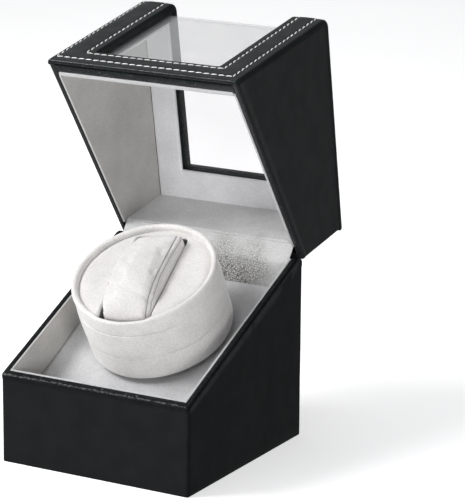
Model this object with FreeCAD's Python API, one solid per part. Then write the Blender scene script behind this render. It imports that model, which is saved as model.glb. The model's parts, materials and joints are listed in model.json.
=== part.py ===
import FreeCAD, Part
import math
import os

# Watch winder box for one watch.
# X to the right, Y from the front to the back, Z up. The origin is the centre of the underside, on the
# table. Lengths are millimetres, angles degrees. The lid is built closed and then swung open about its
# hinge line, because the box stands open at rest. The turntable is built in a frame of its own, whose
# origin is where the spin axis crosses the sloping deck and whose z runs up the spin axis.

# ---- driving dimensions: the box -------------------------------------------------------------------
BOX_W = 130.0            # left to right
BOX_D = 138.0            # front to back
BOX_H = 169.0            # closed height
FRONT_H = 55.0           # height of the base at the front
RIM_SLOPE = 24.5         # slope of the line where base and lid meet
SKIN = 0.8               # leatherette
BOARD = 3.2              # fibreboard of the walls
CARD = 1.2               # lined card inside the walls
MATING_GAP = 0.3         # square to the mating plane, base to closed lid
BACK_CORNER_R = 6.0      # rounded upper back corner of the base

# ---- driving dimensions: lid and window ------------------------------------------------------------
OUTER_FRAME = 4.6        # window frame outside the pane, leather included
PANE = 1.0               # acrylic
INNER_FRAME = 3.2        # window frame inside the pane
LID_PAD = 2.6            # padded lining of the front and top panels
WINDOW_HALF_W = 42.3
WINDOW_SILL_Z = 75.5     # lower edge of the window in the front panel, lid closed
WINDOW_BACK_Y = 38.5     # back edge of the window in the top panel, lid closed
PANE_LAP = 9.5           # how far the pane runs in between the frames
PANE_BEND_R = 5.0        # outside radius of the bend in the pane
LID_CORNER_R = 5.0       # rounded front upper edge of the lid
OPEN_ANGLE = 80.0        # the lid stands this far open at rest

# ---- driving dimensions: hinge ---------------------------------------------------------------------
HINGE_FROM_BACK = 3.6
HINGE_BELOW_RIM = 2.05
HINGE_LENGTH = 24.0
HINGE_X = 34.0           # middle of each hinge, left and right of the centre line
BARREL_R = 1.7
PIN_R = 0.8
LEAF = 0.8
LEAF_REACH = 14.0
LEAF_STANDOFF = 0.4      # barrel to the flat of the leaf
KNUCKLE_GAP = 0.15
HINGE_SCREW_R = 0.9
HINGE_SCREW_LENGTH = 2.8
HINGE_SCREW_HEAD_R = 1.6
HINGE_SCREW_HEAD = 0.6
HINGE_SCREW_XS = (-8.0, 8.0)       # from the middle of the hinge
HINGE_SCREW_REACHES = (6.0, 12.0)  # from the hinge line
BACK_LINING_Y = 59.5     # inner face of the lining on the back wall of the base
LID_BACK_LINING_Y = 57.8
LID_BACK_LINING_Z = 116.4
BACK_LINING_BELOW_HINGE = 5.6      # the base's back lining ends this far below the hinge line
LINING_CLEARANCE = 0.3             # lined faces of base and lid stop this far apart
# Soft lining over the hinges, side view (y, z), lower end first: its face and its underside.
HINGE_LINING_FACE = [(59.6, 109.4), (58.7, 112.0), (59.9, 115.3), (62.6, 118.7), (65.7, 121.6)]
HINGE_LINING_UNDER = [(60.6, 109.6), (59.8, 112.2), (60.9, 114.9), (63.5, 118.2), (66.2, 120.8)]

# ---- driving dimensions: deck and turntable --------------------------------------------------------
DECK_SLOPE = 28.0
AXIS_Y = 11.6            # the spin axis crosses the deck's lined face here
AXIS_Z = 69.65
DECK_BOARD = 2.5
DECK_LINING = 1.0
CLEAT_WIDTH = 6.0
CLEAT_HEIGHT = 5.0
DRUM_R = 44.5
DRUM_GAP = 4.0           # deck to the underside of the drum
DRUM_TOP = 49.5
DRUM_PAD = 1.2
DRUM_WALL = 1.0
DRUM_BASE = 3.0
DRUM_FACE = 1.6
SEAM_DROPS = (11.0, 29.0)  # seams round the drum, measured down from its rim
SEAM_DEPTH = 0.5
RIM_ROLL = 3.7           # width of the rolled rim
FACE_DROP = 2.1          # the face lies this far below the rim
PILLOW_TURN = 8.0        # the turntable has stopped with its slot turned this far
SLOT_HALF_W = 16.5
SLOT_FRONT = -37.0
SLOT_BACK = 35.5
POCKET_FLOOR = 19.0
POCKET_WALL = 1.0
PILLOW_HALF_W = 14.0
PILLOW_ABOVE_FLOOR = 0.3
# Top of the pillow from front to back: (place along the slot, height above the drum's rim).
PILLOW_CROWN = [
    (-36.2, -4.0),
    (-34.0, 2.6),
    (-28.0, 7.0),
    (-20.0, 9.4),
    (-8.0, 10.8),
    (4.0, 10.0),
    (16.0, 7.0),
    (26.5, 2.6),
    (31.0, -4.0),
]
HUB_R = 9.0
HUB_FROM = 1.2
HUB_HEIGHT = 9.6
HUB_FLANGE_R = 16.0
HUB_FLANGE = 1.6
SHAFT_TOP = 8.8
SHAFT_END_GAP = 0.2

# ---- driving dimensions: gear train ----------------------------------------------------------------
MODULE = 0.6
PRESSURE_ANGLE = 25.0
WHEEL_TEETH = 42
PINION_TEETH = 14
BACKLASH = 0.08
RUNNING = 0.05           # radial clearance of a shaft that turns
SNUG = 0.02              # radial clearance of a piece that is pressed or glued
SHAFT_R = 2.5
AXLE_R = 1.25
BUSH_R = 4.5
BUSH_LENGTH = 5.5
MOTOR_R = 10.0
MOTOR_LENGTH = 25.0
MOTOR_SHAFT_R = 1.0
MOTOR_SHAFT_IN = 8.0     # the shaft reaches this far into the motor
MOTOR_LUG_X = 6.0
MOTOR_LUG = 3.0
MOTOR_DIRECTION = 60.0   # of the motor as seen from the idler

# ---- driving dimensions: back panel ----------------------------------------------------------------
CONTROL_Z = 20.0
SOCKET_X = -35.0
SOCKET_R = 4.4
SOCKET_FLANGE_R = 6.0
PLUG_R = 2.75            # 5.5 mm barrel plug
PLUG_DEPTH = 9.0
CONTACT_R = 0.95
SWITCH_HALF_W = 7.0      # body of the rotary switch behind the wall
SWITCH_DEPTH = 8.0
BUSHING_R = 3.5
KNOB_R = 7.0
KNOB_HEIGHT = 5.4
KNOB_STANDOFF = 1.4
KNOB_SHAFT_R = 1.5
KNOB_FLUTES = 18
KNOB_FLUTE_R = 0.7
ROCKER_X = 35.0
ROCKER_TILT = 7.0
ROCKER_HALF_X = 6.5
ROCKER_HALF_Z = 9.5
ROCKER_FLANGE = 1.2
ROCKER_WALL = 1.2
ROCKER_DEPTH = 10.0
ROCKER_PIN_R = 1.0
ROCKER_PIN_BELOW = 3.5   # pivot of the rocker below the back face
TERMINAL_ZS = (-5.0, 0.0, 5.0)

# ---- driving dimensions: electrics -----------------------------------------------------------------
BOARD_X = (-52.0, -8.0)
BOARD_Y = (-12.0, 20.0)
BOARD_Z = 8.0
BOARD_THICK = 1.6
STANDOFF_R = 2.0
STANDOFF_INSET = 4.0
HEADER_HEIGHT = 5.5
WIRE_R = 0.6

HALF_W = BOX_W / 2
FRONT = -BOX_D / 2
BACK = BOX_D / 2
WALL = SKIN + BOARD
TAN_RIM = math.tan(math.radians(RIM_SLOPE))
COS_RIM = math.cos(math.radians(RIM_SLOPE))
X_AXIS = FreeCAD.Vector(1, 0, 0)
Y_AXIS = FreeCAD.Vector(0, 1, 0)
Z_AXIS = FreeCAD.Vector(0, 0, 1)
FRAME_DEPTH = OUTER_FRAME + PANE + INNER_FRAME
HINGE_Y = BACK - HINGE_FROM_BACK
FAR = 400.0


# ---- shapes ----------------------------------------------------------------------------------------
def rim_z(y):
    """Height of the base's sloping rim at depth y."""
    return FRONT_H + (y - FRONT) * TAN_RIM


HINGE_Z = rim_z(HINGE_Y) - HINGE_BELOW_RIM
HINGE = FreeCAD.Vector(0, HINGE_Y, HINGE_Z)


def box(x0, x1, y0, y1, z0, z1):
    return Part.makeBox(x1 - x0, y1 - y0, z1 - z0, FreeCAD.Vector(x0, y0, z0))


def rod(x, y, z, radius, length, along=Z_AXIS):
    return Part.makeCylinder(radius, length, FreeCAD.Vector(x, y, z), along)


def tube(x, y, z, outer, inner, length, along=Z_AXIS):
    return rod(x, y, z, outer, length, along).cut(rod(x, y, z, inner, length, along))


def prism(outline, x0, x1):
    """Solid from a closed outline of (y, z) points, drawn out from x0 to x1."""
    points = [FreeCAD.Vector(x0, y, z) for y, z in outline]
    face = Part.Face(Part.makePolygon(points + points[:1]))
    return face.extrude(FreeCAD.Vector(x1 - x0, 0, 0))


def round_edge(shape, y, z, radius):
    """Round the edge that runs along X through (y, z)."""
    found = []
    for edge in shape.Edges:
        middle = edge.CenterOfMass
        if abs(middle.y - y) < 0.01 and abs(middle.z - z) < 0.01:
            found.append(edge)
    return shape.makeFillet(radius, found)


def group(shapes):
    return Part.makeCompound(shapes)


def export(name, shape):
    shape.exportStep(os.path.join("parts", name + ".step"))


def open_lid(shape):
    shape.rotate(HINGE, X_AXIS, -OPEN_ANGLE)
    return shape


def on_deck(shape):
    """From the turntable's own frame to the box."""
    shape.rotate(FreeCAD.Vector(0, 0, 0), X_AXIS, DECK_SLOPE)
    shape.translate(FreeCAD.Vector(0, AXIS_Y, AXIS_Z))
    return shape


def on_turntable(shape):
    """From the slot's frame, which is turned with the turntable, to the box."""
    shape.rotate(FreeCAD.Vector(0, 0, 0), Z_AXIS, PILLOW_TURN)
    return on_deck(shape)


# ---- outlines of base and lid ----------------------------------------------------------------------
def base_outline(inset):
    """Side view of the base, moved inwards by inset on every side but the underside."""
    drop = inset / COS_RIM
    front, back = FRONT + inset, BACK - inset
    return [(front, 0), (back, 0), (back, rim_z(back) - drop), (front, rim_z(front) - drop)]


def base_prism(inset, half_width):
    drop = inset / COS_RIM
    solid = prism(base_outline(inset), -half_width, half_width)
    back = BACK - inset
    return round_edge(solid, back, rim_z(back) - drop, BACK_CORNER_R - inset)


def lid_outline(inset, bottom_inset):
    rise = (MATING_GAP + bottom_inset) / COS_RIM
    front, back = FRONT + inset, BACK - inset
    top = BOX_H - inset
    return [(front, rim_z(front) + rise), (back, rim_z(back) + rise), (back, top), (front, top)]


def lid_prism(inset, half_width):
    solid = prism(lid_outline(inset, inset), -half_width, half_width)
    return round_edge(solid, FRONT + inset, BOX_H - inset, LID_CORNER_R - inset)


def frame_layer(depth_out, depth_in, half_width, corner_out, corner_in, bottom_inset):
    """Layer of the front and top panels between two depths below the outer surface, as one L."""
    outer = prism(lid_outline(depth_out, bottom_inset), -half_width, half_width)
    if corner_out:
        outer = round_edge(outer, FRONT + depth_out, BOX_H - depth_out, corner_out)
    inner_y, inner_z = FRONT + depth_in, BOX_H - depth_in
    hollow = prism([(inner_y, 0), (BACK + FAR, 0), (BACK + FAR, inner_z), (inner_y, inner_z)], -FAR, FAR)
    if corner_in:
        hollow = round_edge(hollow, inner_y, inner_z, corner_in)
    layer = outer.cut(hollow)
    return layer.common(box(-FAR, FAR, FRONT, BACK - WALL, 0, BOX_H))


def window_cutter(grow):
    """The space of the window, which runs round the front upper edge of the lid."""
    half = WINDOW_HALF_W + grow
    past = FRONT - FAR
    above = BOX_H + FAR
    depth = FRAME_DEPTH + LID_PAD + 1.0
    top = box(-half, half, past, WINDOW_BACK_Y + grow, BOX_H - depth, above)
    front = box(-half, half, past, FRONT + depth, WINDOW_SILL_Z - grow, above)
    return top.fuse(front)


def mitre(front_part):
    """Half-space on one side of the 45 degree joint between the front and top panels."""
    low = (FRONT + FAR, BOX_H - FAR)
    high = (FRONT - FAR, BOX_H + FAR)
    third = (FRONT - FAR, BOX_H - FAR) if front_part else (FRONT + FAR, BOX_H + FAR)
    return prism([low, high, third], -FAR, FAR)


def deck_z(y, below=0.0):
    """Height of the deck's lined face at depth y, or of a plane that far below it."""
    tangent = math.tan(math.radians(DECK_SLOPE))
    return AXIS_Z + (y - AXIS_Y) * tangent - below / math.cos(math.radians(DECK_SLOPE))


def deck_slab(above, below, half_width, front, back):
    """Slab between two planes parallel to the deck, cut off square at front and back."""
    lower = [(front, deck_z(front, below)), (back, deck_z(back, below))]
    upper = [(back, deck_z(back, above)), (front, deck_z(front, above))]
    return prism(lower + upper, -half_width, half_width)


# ---- gears -----------------------------------------------------------------------------------------
def gear_blank(teeth, thickness, z, phase):
    """Involute spur gear about the origin, with one tooth centred on the direction phase (degrees)."""
    pitch_r = MODULE * teeth / 2
    base_r = pitch_r * math.cos(math.radians(PRESSURE_ANGLE))
    tip_r = pitch_r + MODULE
    root_r = pitch_r - 1.25 * MODULE
    start_r = max(base_r, root_r)
    angle = math.radians(PRESSURE_ANGLE)
    half_tooth = (math.pi * MODULE / 2 - BACKLASH) / 2 / pitch_r + math.tan(angle) - angle
    steps = 6
    flank = []
    for i in range(steps + 1):
        r = start_r + (tip_r - start_r) * i / steps
        roll = math.sqrt(max(0.0, (r / base_r) ** 2 - 1))
        flank.append((r, half_tooth - (roll - math.atan(roll))))
    points = []
    for tooth in range(teeth):
        centre = math.radians(phase) + 2 * math.pi * tooth / teeth
        rising = [(root_r, centre - flank[0][1])] + [(r, centre - a) for r, a in flank]
        falling = [(r, centre + a) for r, a in reversed(flank)] + [(root_r, centre + flank[0][1])]
        for r, a in rising + falling:
            points.append(FreeCAD.Vector(r * math.cos(a), r * math.sin(a), z))
    face = Part.Face(Part.makePolygon(points + points[:1]))
    return face.extrude(FreeCAD.Vector(0, 0, thickness))


WHEEL_R = MODULE * WHEEL_TEETH / 2
PINION_R = MODULE * PINION_TEETH / 2
CENTRES = WHEEL_R + PINION_R
IDLER_X = -CENTRES
MOTOR_X = IDLER_X + CENTRES * math.cos(math.radians(MOTOR_DIRECTION))
MOTOR_Y = CENTRES * math.sin(math.radians(MOTOR_DIRECTION))
GEARBOX_TOP = -DECK_LINING - DECK_BOARD
GEARBOX_WALL = 1.5
GEARBOX_COVER_Z = -17.5
GEARBOX_COVER = 2.0
UPPER_GEAR_Z = -9.0      # output wheel and the idler's pinion
LOWER_GEAR_Z = -13.0     # the idler's wheel and the motor pinion
GEAR_THICK = 3.0
PINION_EXTRA = 0.2       # pinions stand this far past the wheels on each side
GEARBOX = (-32.0, 17.0, -16.0, 26.0)  # x from and to, y from and to
GEARBOX_SCREWS = [(-28.0, -12.0), (13.0, -12.0), (13.0, 22.0), (-28.0, 22.0)]
GEARBOX_BOSS_R = 2.8
GEARBOX_SCREW_R = 1.0
GEARBOX_SCREW_HEAD_R = 2.0
GEARBOX_SCREW_HEAD = 1.4
SEAT_DEPTH = 1.2         # shafts stand this deep in the cover
PINION_HOLE_R = 5.2
SEAT_Z = GEARBOX_COVER_Z + GEARBOX_COVER - SEAT_DEPTH


# ---- hinge -----------------------------------------------------------------------------------------
def along_hinge(x0, x1, radius):
    return rod(x0, HINGE_Y, HINGE_Z, radius, x1 - x0, X_AXIS)


def hinge_leaf(x_middle, direction, bore):
    """One leaf of a hinge; direction is 1 for the lid's leaf, built closed, and -1 for the base's."""
    third = HINGE_LENGTH / 3
    gap = KNUCKLE_GAP
    start = x_middle - HINGE_LENGTH / 2
    if direction > 0:
        knuckles = [(start + third + gap, start + 2 * third - gap)]
    else:
        knuckles = [(start, start + third - gap), (start + 2 * third + gap, start + HINGE_LENGTH)]
    face_y = BACK - WALL
    plate_from = HINGE_Z + direction * (BARREL_R + LEAF_STANDOFF)
    plate_to = HINGE_Z + direction * (BARREL_R + LEAF_REACH)
    low, high = sorted((plate_from, plate_to))
    leaf = box(start, start + HINGE_LENGTH, face_y - LEAF, face_y, low, high)
    for x0, x1 in knuckles:
        low, high = sorted((HINGE_Z, plate_from))
        leaf = leaf.fuse(box(x0, x1, face_y - LEAF, face_y, low, high))
        leaf = leaf.fuse(along_hinge(x0, x1, BARREL_R))
    return leaf.cut(along_hinge(start - 1, start + HINGE_LENGTH + 1, bore)).removeSplitter()


def hinge_screws(x_middle, direction, grow=0.0):
    """Four small screws through a leaf into the board behind it."""
    shapes = []
    face_y = BACK - WALL - LEAF
    for dx in HINGE_SCREW_XS:
        for reach in HINGE_SCREW_REACHES:
            x = x_middle + dx
            z = HINGE_Z + direction * reach
            head_y = face_y - HINGE_SCREW_HEAD
            head = rod(x, head_y, z, HINGE_SCREW_HEAD_R + grow, HINGE_SCREW_HEAD, Y_AXIS)
            shank = rod(x, face_y, z, HINGE_SCREW_R + grow, HINGE_SCREW_LENGTH, Y_AXIS)
            shapes.append(head.fuse(shank))
    return shapes


def fit_hinges(direction, bore):
    leaves = []
    screws = []
    for x_middle in (-HINGE_X, HINGE_X):
        leaf = hinge_leaf(x_middle, direction, bore)
        for cutter in hinge_screws(x_middle, direction, SNUG):
            leaf = leaf.cut(cutter)
        leaves.append(leaf)
        screws.extend(hinge_screws(x_middle, direction))
    return leaves, screws


def screw_holes(direction):
    cutters = []
    for x_middle in (-HINGE_X, HINGE_X):
        cutters.extend(hinge_screws(x_middle, direction, SNUG))
    return cutters[0].multiFuse(cutters[1:])


# ---- base: walls, leather, lining ------------------------------------------------------------------
def panel_openings():
    """Holes in the back wall for the socket, the knob's bushing and the rocker switch."""
    length = WALL + 2
    start = BACK - WALL - 1
    socket = rod(SOCKET_X, start, CONTROL_Z, SOCKET_R + SNUG, length, Y_AXIS)
    knob = rod(0, start, CONTROL_Z, BUSHING_R + SNUG, length, Y_AXIS)
    half_x, half_z = ROCKER_HALF_X + RUNNING, ROCKER_HALF_Z + RUNNING
    rocker = box(-half_x, half_x, start, start + length, CONTROL_Z - half_z, CONTROL_Z + half_z)
    rocker.translate(FreeCAD.Vector(ROCKER_X, 0, 0))
    return socket.fuse(knob).fuse(rocker)


def hinge_notches():
    """Room for the hinge barrels in the back wall."""
    reach = HINGE_LENGTH / 2 + 0.4
    radius = BARREL_R + 0.3
    left = along_hinge(-HINGE_X - reach, -HINGE_X + reach, radius)
    return left.fuse(along_hinge(HINGE_X - reach, HINGE_X + reach, radius))


def build_base():
    inner_x = HALF_W - WALL
    inner_front = FRONT + WALL
    inner_back = BACK - WALL
    core = base_prism(SKIN, HALF_W - SKIN).common(box(-FAR, FAR, -FAR, FAR, SKIN, FAR))
    notches = hinge_notches()

    skin = base_prism(0, HALF_W).cut(base_prism(SKIN, HALF_W - SKIN))
    skin = skin.cut(box(-inner_x, inner_x, inner_front, inner_back, -1, FAR))
    skin = skin.cut(notches).cut(panel_openings())
    export("base_cover", skin)

    export("base_left_board", core.common(box(-HALF_W, -inner_x, -FAR, FAR, 0, FAR)))
    export("base_right_board", core.common(box(inner_x, HALF_W, -FAR, FAR, 0, FAR)))
    export("base_front_board", core.common(box(-inner_x, inner_x, -FAR, inner_front, 0, FAR)))
    back = core.common(box(-inner_x, inner_x, inner_back, FAR, 0, FAR))
    back = back.cut(notches).cut(panel_openings()).cut(screw_holes(-1))
    export("base_back_board", back)
    export("base_bottom_board", box(-inner_x, inner_x, inner_front, inner_back, SKIN, WALL))
    sheet_x = HALF_W - SKIN
    export("base_bottom_sheet", box(-sheet_x, sheet_x, FRONT + SKIN, BACK - SKIN, 0, SKIN))

    lining_x = inner_x - CARD
    above_deck = [(FRONT, deck_z(FRONT)), (BACK, deck_z(BACK)), (BACK, FAR), (FRONT, FAR)]
    lining_zone = base_prism(LINING_CLEARANCE, HALF_W).common(prism(above_deck, -FAR, FAR))
    left = lining_zone.common(box(-inner_x, -lining_x, inner_front, inner_back, 0, FAR))
    export("base_left_lining", left)
    export("base_right_lining", left.mirror(FreeCAD.Vector(0, 0, 0), X_AXIS))
    front = lining_zone.common(box(-lining_x, lining_x, inner_front, inner_front + CARD, 0, FAR))
    export("base_front_lining", front)
    lining_top = HINGE_Z - BACK_LINING_BELOW_HINGE
    back_card = box(-lining_x, lining_x, BACK_LINING_Y, BACK_LINING_Y + CARD, 0, lining_top)
    export("base_back_lining", lining_zone.common(back_card))


def hinge_lining():
    """Soft lining that bridges from the back wall of the base to the back wall of the open lid."""
    half = HALF_W - WALL - CARD - LINING_CLEARANCE
    sides = []
    for points in (HINGE_LINING_FACE, HINGE_LINING_UNDER):
        sides.append([FreeCAD.Vector(-half, y, z) for y, z in points])
    edges = []
    for side in sides:
        curve = Part.BSplineCurve()
        curve.interpolate(side)
        edges.append(curve.toShape())
    for end in (0, -1):
        edges.append(Part.makeLine(sides[0][end], sides[1][end]))
    wire = Part.Wire(Part.__sortEdges__(edges))
    return Part.Face(wire).extrude(FreeCAD.Vector(2 * half, 0, 0))


def build_deck():
    inner_x = HALF_W - WALL
    front, back = FRONT + WALL, BACK - WALL
    shaft_hole = on_deck(rod(0, 0, -FAR, BUSH_R + SNUG, 2 * FAR))
    screw_cutters = [on_deck(screw) for screw in gearbox_screws(SNUG)]
    board = deck_slab(DECK_LINING, DECK_LINING + DECK_BOARD, inner_x, front, back)
    board = board.cut(shaft_hole)
    for cutter in screw_cutters:
        board = board.cut(cutter)
    export("deck_board", board)
    export("deck_lining", deck_slab(0, DECK_LINING, inner_x, front, back).cut(shaft_hole))
    under = DECK_LINING + DECK_BOARD
    cleat = deck_slab(under, under + CLEAT_HEIGHT, inner_x, front, back)
    cleat = cleat.common(box(inner_x - CLEAT_WIDTH, inner_x, -FAR, FAR, -FAR, FAR))
    export("deck_cleats", group([cleat, cleat.mirror(FreeCAD.Vector(0, 0, 0), X_AXIS)]))


# ---- lid -------------------------------------------------------------------------------------------
def build_lid():
    inner_x = HALF_W - WALL
    window = window_cutter(0)
    wide_window = window_cutter(SKIN)
    skin_x = HALF_W - SKIN

    outer_corner = LID_CORNER_R - SKIN
    outer_layer = frame_layer(SKIN, OUTER_FRAME, inner_x, outer_corner, PANE_BEND_R, SKIN)
    turn_in = outer_layer.common(wide_window).cut(window)
    skin = lid_prism(0, HALF_W).cut(lid_prism(SKIN, skin_x))
    mouth = box(-inner_x, inner_x, FRONT + FRAME_DEPTH, BACK - WALL, 0, rim_z(BACK) + 8)
    past_rim = [(FRONT, -FAR), (BACK, -FAR), (BACK, rim_z(BACK) + 2), (FRONT, rim_z(FRONT) + 2)]
    below_top = lid_prism(SKIN, skin_x).fuse(prism(past_rim, -FAR, FAR))
    skin = skin.cut(mouth.common(below_top)).cut(window).fuse(turn_in).removeSplitter()
    export("lid_cover", open_lid(skin))

    core = lid_prism(SKIN, skin_x)
    export("lid_left_board", open_lid(core.common(box(-HALF_W, -inner_x, -FAR, FAR, 0, FAR))))
    export("lid_right_board", open_lid(core.common(box(inner_x, HALF_W, -FAR, FAR, 0, FAR))))
    back = core.common(box(-inner_x, inner_x, BACK - WALL, FAR, 0, FAR)).cut(screw_holes(1))
    export("lid_back_board", open_lid(back))

    outer_frame = outer_layer.cut(wide_window)
    export("lid_front_outer_frame", open_lid(outer_frame.common(mitre(True))))
    export("lid_top_outer_frame", open_lid(outer_frame.common(mitre(False))))
    inner_corner = PANE_BEND_R - PANE
    inner_layer = frame_layer(OUTER_FRAME + PANE, FRAME_DEPTH, inner_x, inner_corner, 0, SKIN).cut(window)
    export("lid_front_inner_frame", open_lid(inner_layer.common(mitre(True))))
    export("lid_top_inner_frame", open_lid(inner_layer.common(mitre(False))))

    pane_x = WINDOW_HALF_W + PANE_LAP
    pane = frame_layer(OUTER_FRAME, OUTER_FRAME + PANE, pane_x, PANE_BEND_R, inner_corner, SKIN)
    pane = pane.common(box(-FAR, FAR, FRONT, WINDOW_BACK_Y + PANE_LAP, WINDOW_SILL_Z - PANE_LAP, FAR))
    export("lid_window", open_lid(pane))

    lining_x = inner_x - CARD
    side = prism(lid_outline(FRAME_DEPTH, LINING_CLEARANCE), -inner_x, -lining_x)
    side = side.common(box(-FAR, FAR, FRONT, BACK - WALL, 0, FAR))
    right = side.mirror(FreeCAD.Vector(0, 0, 0), X_AXIS)
    export("lid_left_lining", open_lid(side))
    export("lid_right_lining", open_lid(right))
    pad_depth = FRAME_DEPTH + LID_PAD
    pads = frame_layer(FRAME_DEPTH, pad_depth, lining_x, 0, 0, LINING_CLEARANCE).cut(window)
    export("lid_front_lining", open_lid(pads.common(mitre(True))))
    export("lid_top_lining", open_lid(pads.common(mitre(False))))
    card_y = LID_BACK_LINING_Y
    card = box(-lining_x, lining_x, card_y, card_y + CARD, LID_BACK_LINING_Z, BOX_H - pad_depth)
    export("lid_back_lining", open_lid(card))


def build_hinges():
    base_leaves, base_screws = fit_hinges(-1, PIN_R + SNUG)
    export("hinge_base_leaves", group(base_leaves))
    export("hinge_base_screws", group(base_screws))
    pins = []
    for x_middle in (-HINGE_X, HINGE_X):
        start = x_middle - HINGE_LENGTH / 2
        pins.append(along_hinge(start, start + HINGE_LENGTH, PIN_R))
    export("hinge_pins", group(pins))
    lid_leaves, lid_screws = fit_hinges(1, PIN_R + RUNNING)
    export("hinge_lid_leaves", open_lid(group(lid_leaves)))
    export("hinge_lid_screws", open_lid(group(lid_screws)))
    export("hinge_lining", hinge_lining())


# ---- turntable, in its own frame -------------------------------------------------------------------
def ring(outline):
    """Solid of revolution about the spin axis from (radius, z) points."""
    points = [FreeCAD.Vector(r, 0, z) for r, z in outline]
    face = Part.Face(Part.makePolygon(points + points[:1]))
    return face.revolve(FreeCAD.Vector(0, 0, 0), Z_AXIS, 360)


def drum_cover():
    """Padded cover of the drum's side: three bands with a seam sunk between them."""
    groove = SEAM_DEPTH
    inner = DRUM_R - DRUM_PAD
    top = DRUM_TOP - RIM_ROLL
    outline = [(inner, DRUM_GAP), (DRUM_R - 0.6, DRUM_GAP), (DRUM_R, DRUM_GAP + 1.2)]
    for drop in sorted(SEAM_DROPS, reverse=True):
        z = DRUM_TOP - drop
        outline += [(DRUM_R, z - groove), (DRUM_R - groove, z), (DRUM_R, z + groove)]
    outline += [(DRUM_R, top), (inner, top)]
    return ring(outline)


def drum_rim():
    """Rolled rim that stands round the face."""
    low = DRUM_TOP - RIM_ROLL
    solid = tube(0, 0, low, DRUM_R, DRUM_R - RIM_ROLL, RIM_ROLL)
    upper = []
    for edge in solid.Edges:
        if abs(edge.BoundBox.ZMin - DRUM_TOP) < 0.01:
            upper.append(edge)
    return solid.makeFillet(RIM_ROLL * 0.45, upper)


def slot_space(grow, z0, z1):
    return box(-SLOT_HALF_W - grow, SLOT_HALF_W + grow, SLOT_FRONT - grow, SLOT_BACK + grow, z0, z1)


def watch_pillow():
    """Arched cushion that a closed bracelet goes round; its front end drops into the slot."""
    half = PILLOW_HALF_W
    crown = [FreeCAD.Vector(-half, v, DRUM_TOP + h) for v, h in PILLOW_CROWN]
    curve = Part.BSplineCurve()
    curve.interpolate(crown)
    floor = POCKET_FLOOR + POCKET_WALL + PILLOW_ABOVE_FLOOR
    front = FreeCAD.Vector(-half, crown[0].y, floor)
    back = FreeCAD.Vector(-half, crown[-1].y, floor)
    corners = [crown[-1], back, front, crown[0]]
    edges = [curve.toShape()]
    for start, end in zip(corners, corners[1:]):
        edges.append(Part.makeLine(start, end))
    return Part.Face(Part.Wire(Part.__sortEdges__(edges))).extrude(FreeCAD.Vector(2 * half, 0, 0))


def build_turntable():
    wall_r = DRUM_R - DRUM_PAD
    floor_r = wall_r - DRUM_WALL
    face_low = DRUM_TOP - FACE_DROP - DRUM_FACE
    wall_low = DRUM_GAP + DRUM_BASE
    hub = rod(0, 0, HUB_FROM, HUB_R, HUB_HEIGHT).fuse(rod(0, 0, wall_low, HUB_FLANGE_R, HUB_FLANGE))
    hub = hub.cut(rod(0, 0, 0, SHAFT_R + SNUG, SHAFT_TOP + SHAFT_END_GAP)).removeSplitter()
    export("turntable_hub", on_deck(hub))
    export("drum_base", on_deck(tube(0, 0, DRUM_GAP, wall_r, HUB_R + SNUG, DRUM_BASE)))
    export("drum_wall", on_deck(tube(0, 0, wall_low, wall_r, floor_r, DRUM_TOP - RIM_ROLL - wall_low)))
    export("drum_cover", on_deck(drum_cover()))
    export("drum_rim", on_deck(drum_rim()))
    face = rod(0, 0, face_low, DRUM_R - RIM_ROLL - SNUG, DRUM_FACE).cut(slot_space(0, 0, FAR))
    export("drum_face", on_turntable(face))
    pocket = slot_space(POCKET_WALL, POCKET_FLOOR, face_low)
    pocket = pocket.cut(slot_space(0, POCKET_FLOOR + POCKET_WALL, FAR))
    export("pillow_pocket", on_turntable(pocket.common(rod(0, 0, 0, floor_r - 0.2, FAR))))
    export("watch_pillow", on_turntable(watch_pillow()))

    shaft = rod(0, 0, SEAT_Z, SHAFT_R, SHAFT_TOP - SEAT_Z)
    export("output_shaft", on_deck(shaft))
    wheel = gear_blank(WHEEL_TEETH, GEAR_THICK, UPPER_GEAR_Z, 180.0)
    export("output_gear", on_deck(wheel.cut(rod(0, 0, -FAR, SHAFT_R + SNUG, 2 * FAR))))


# ---- motor and gearbox, in the turntable's frame ---------------------------------------------------
def gearbox_screws(grow=0.0):
    shapes = []
    length = GEARBOX_TOP + 1.6 - GEARBOX_COVER_Z
    for x, y in GEARBOX_SCREWS:
        head_z = GEARBOX_COVER_Z - GEARBOX_SCREW_HEAD
        head = rod(x, y, head_z, GEARBOX_SCREW_HEAD_R + grow, GEARBOX_SCREW_HEAD)
        shank = rod(x, y, GEARBOX_COVER_Z, GEARBOX_SCREW_R + grow, length)
        shapes.append(head.fuse(shank))
    return shapes


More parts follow.
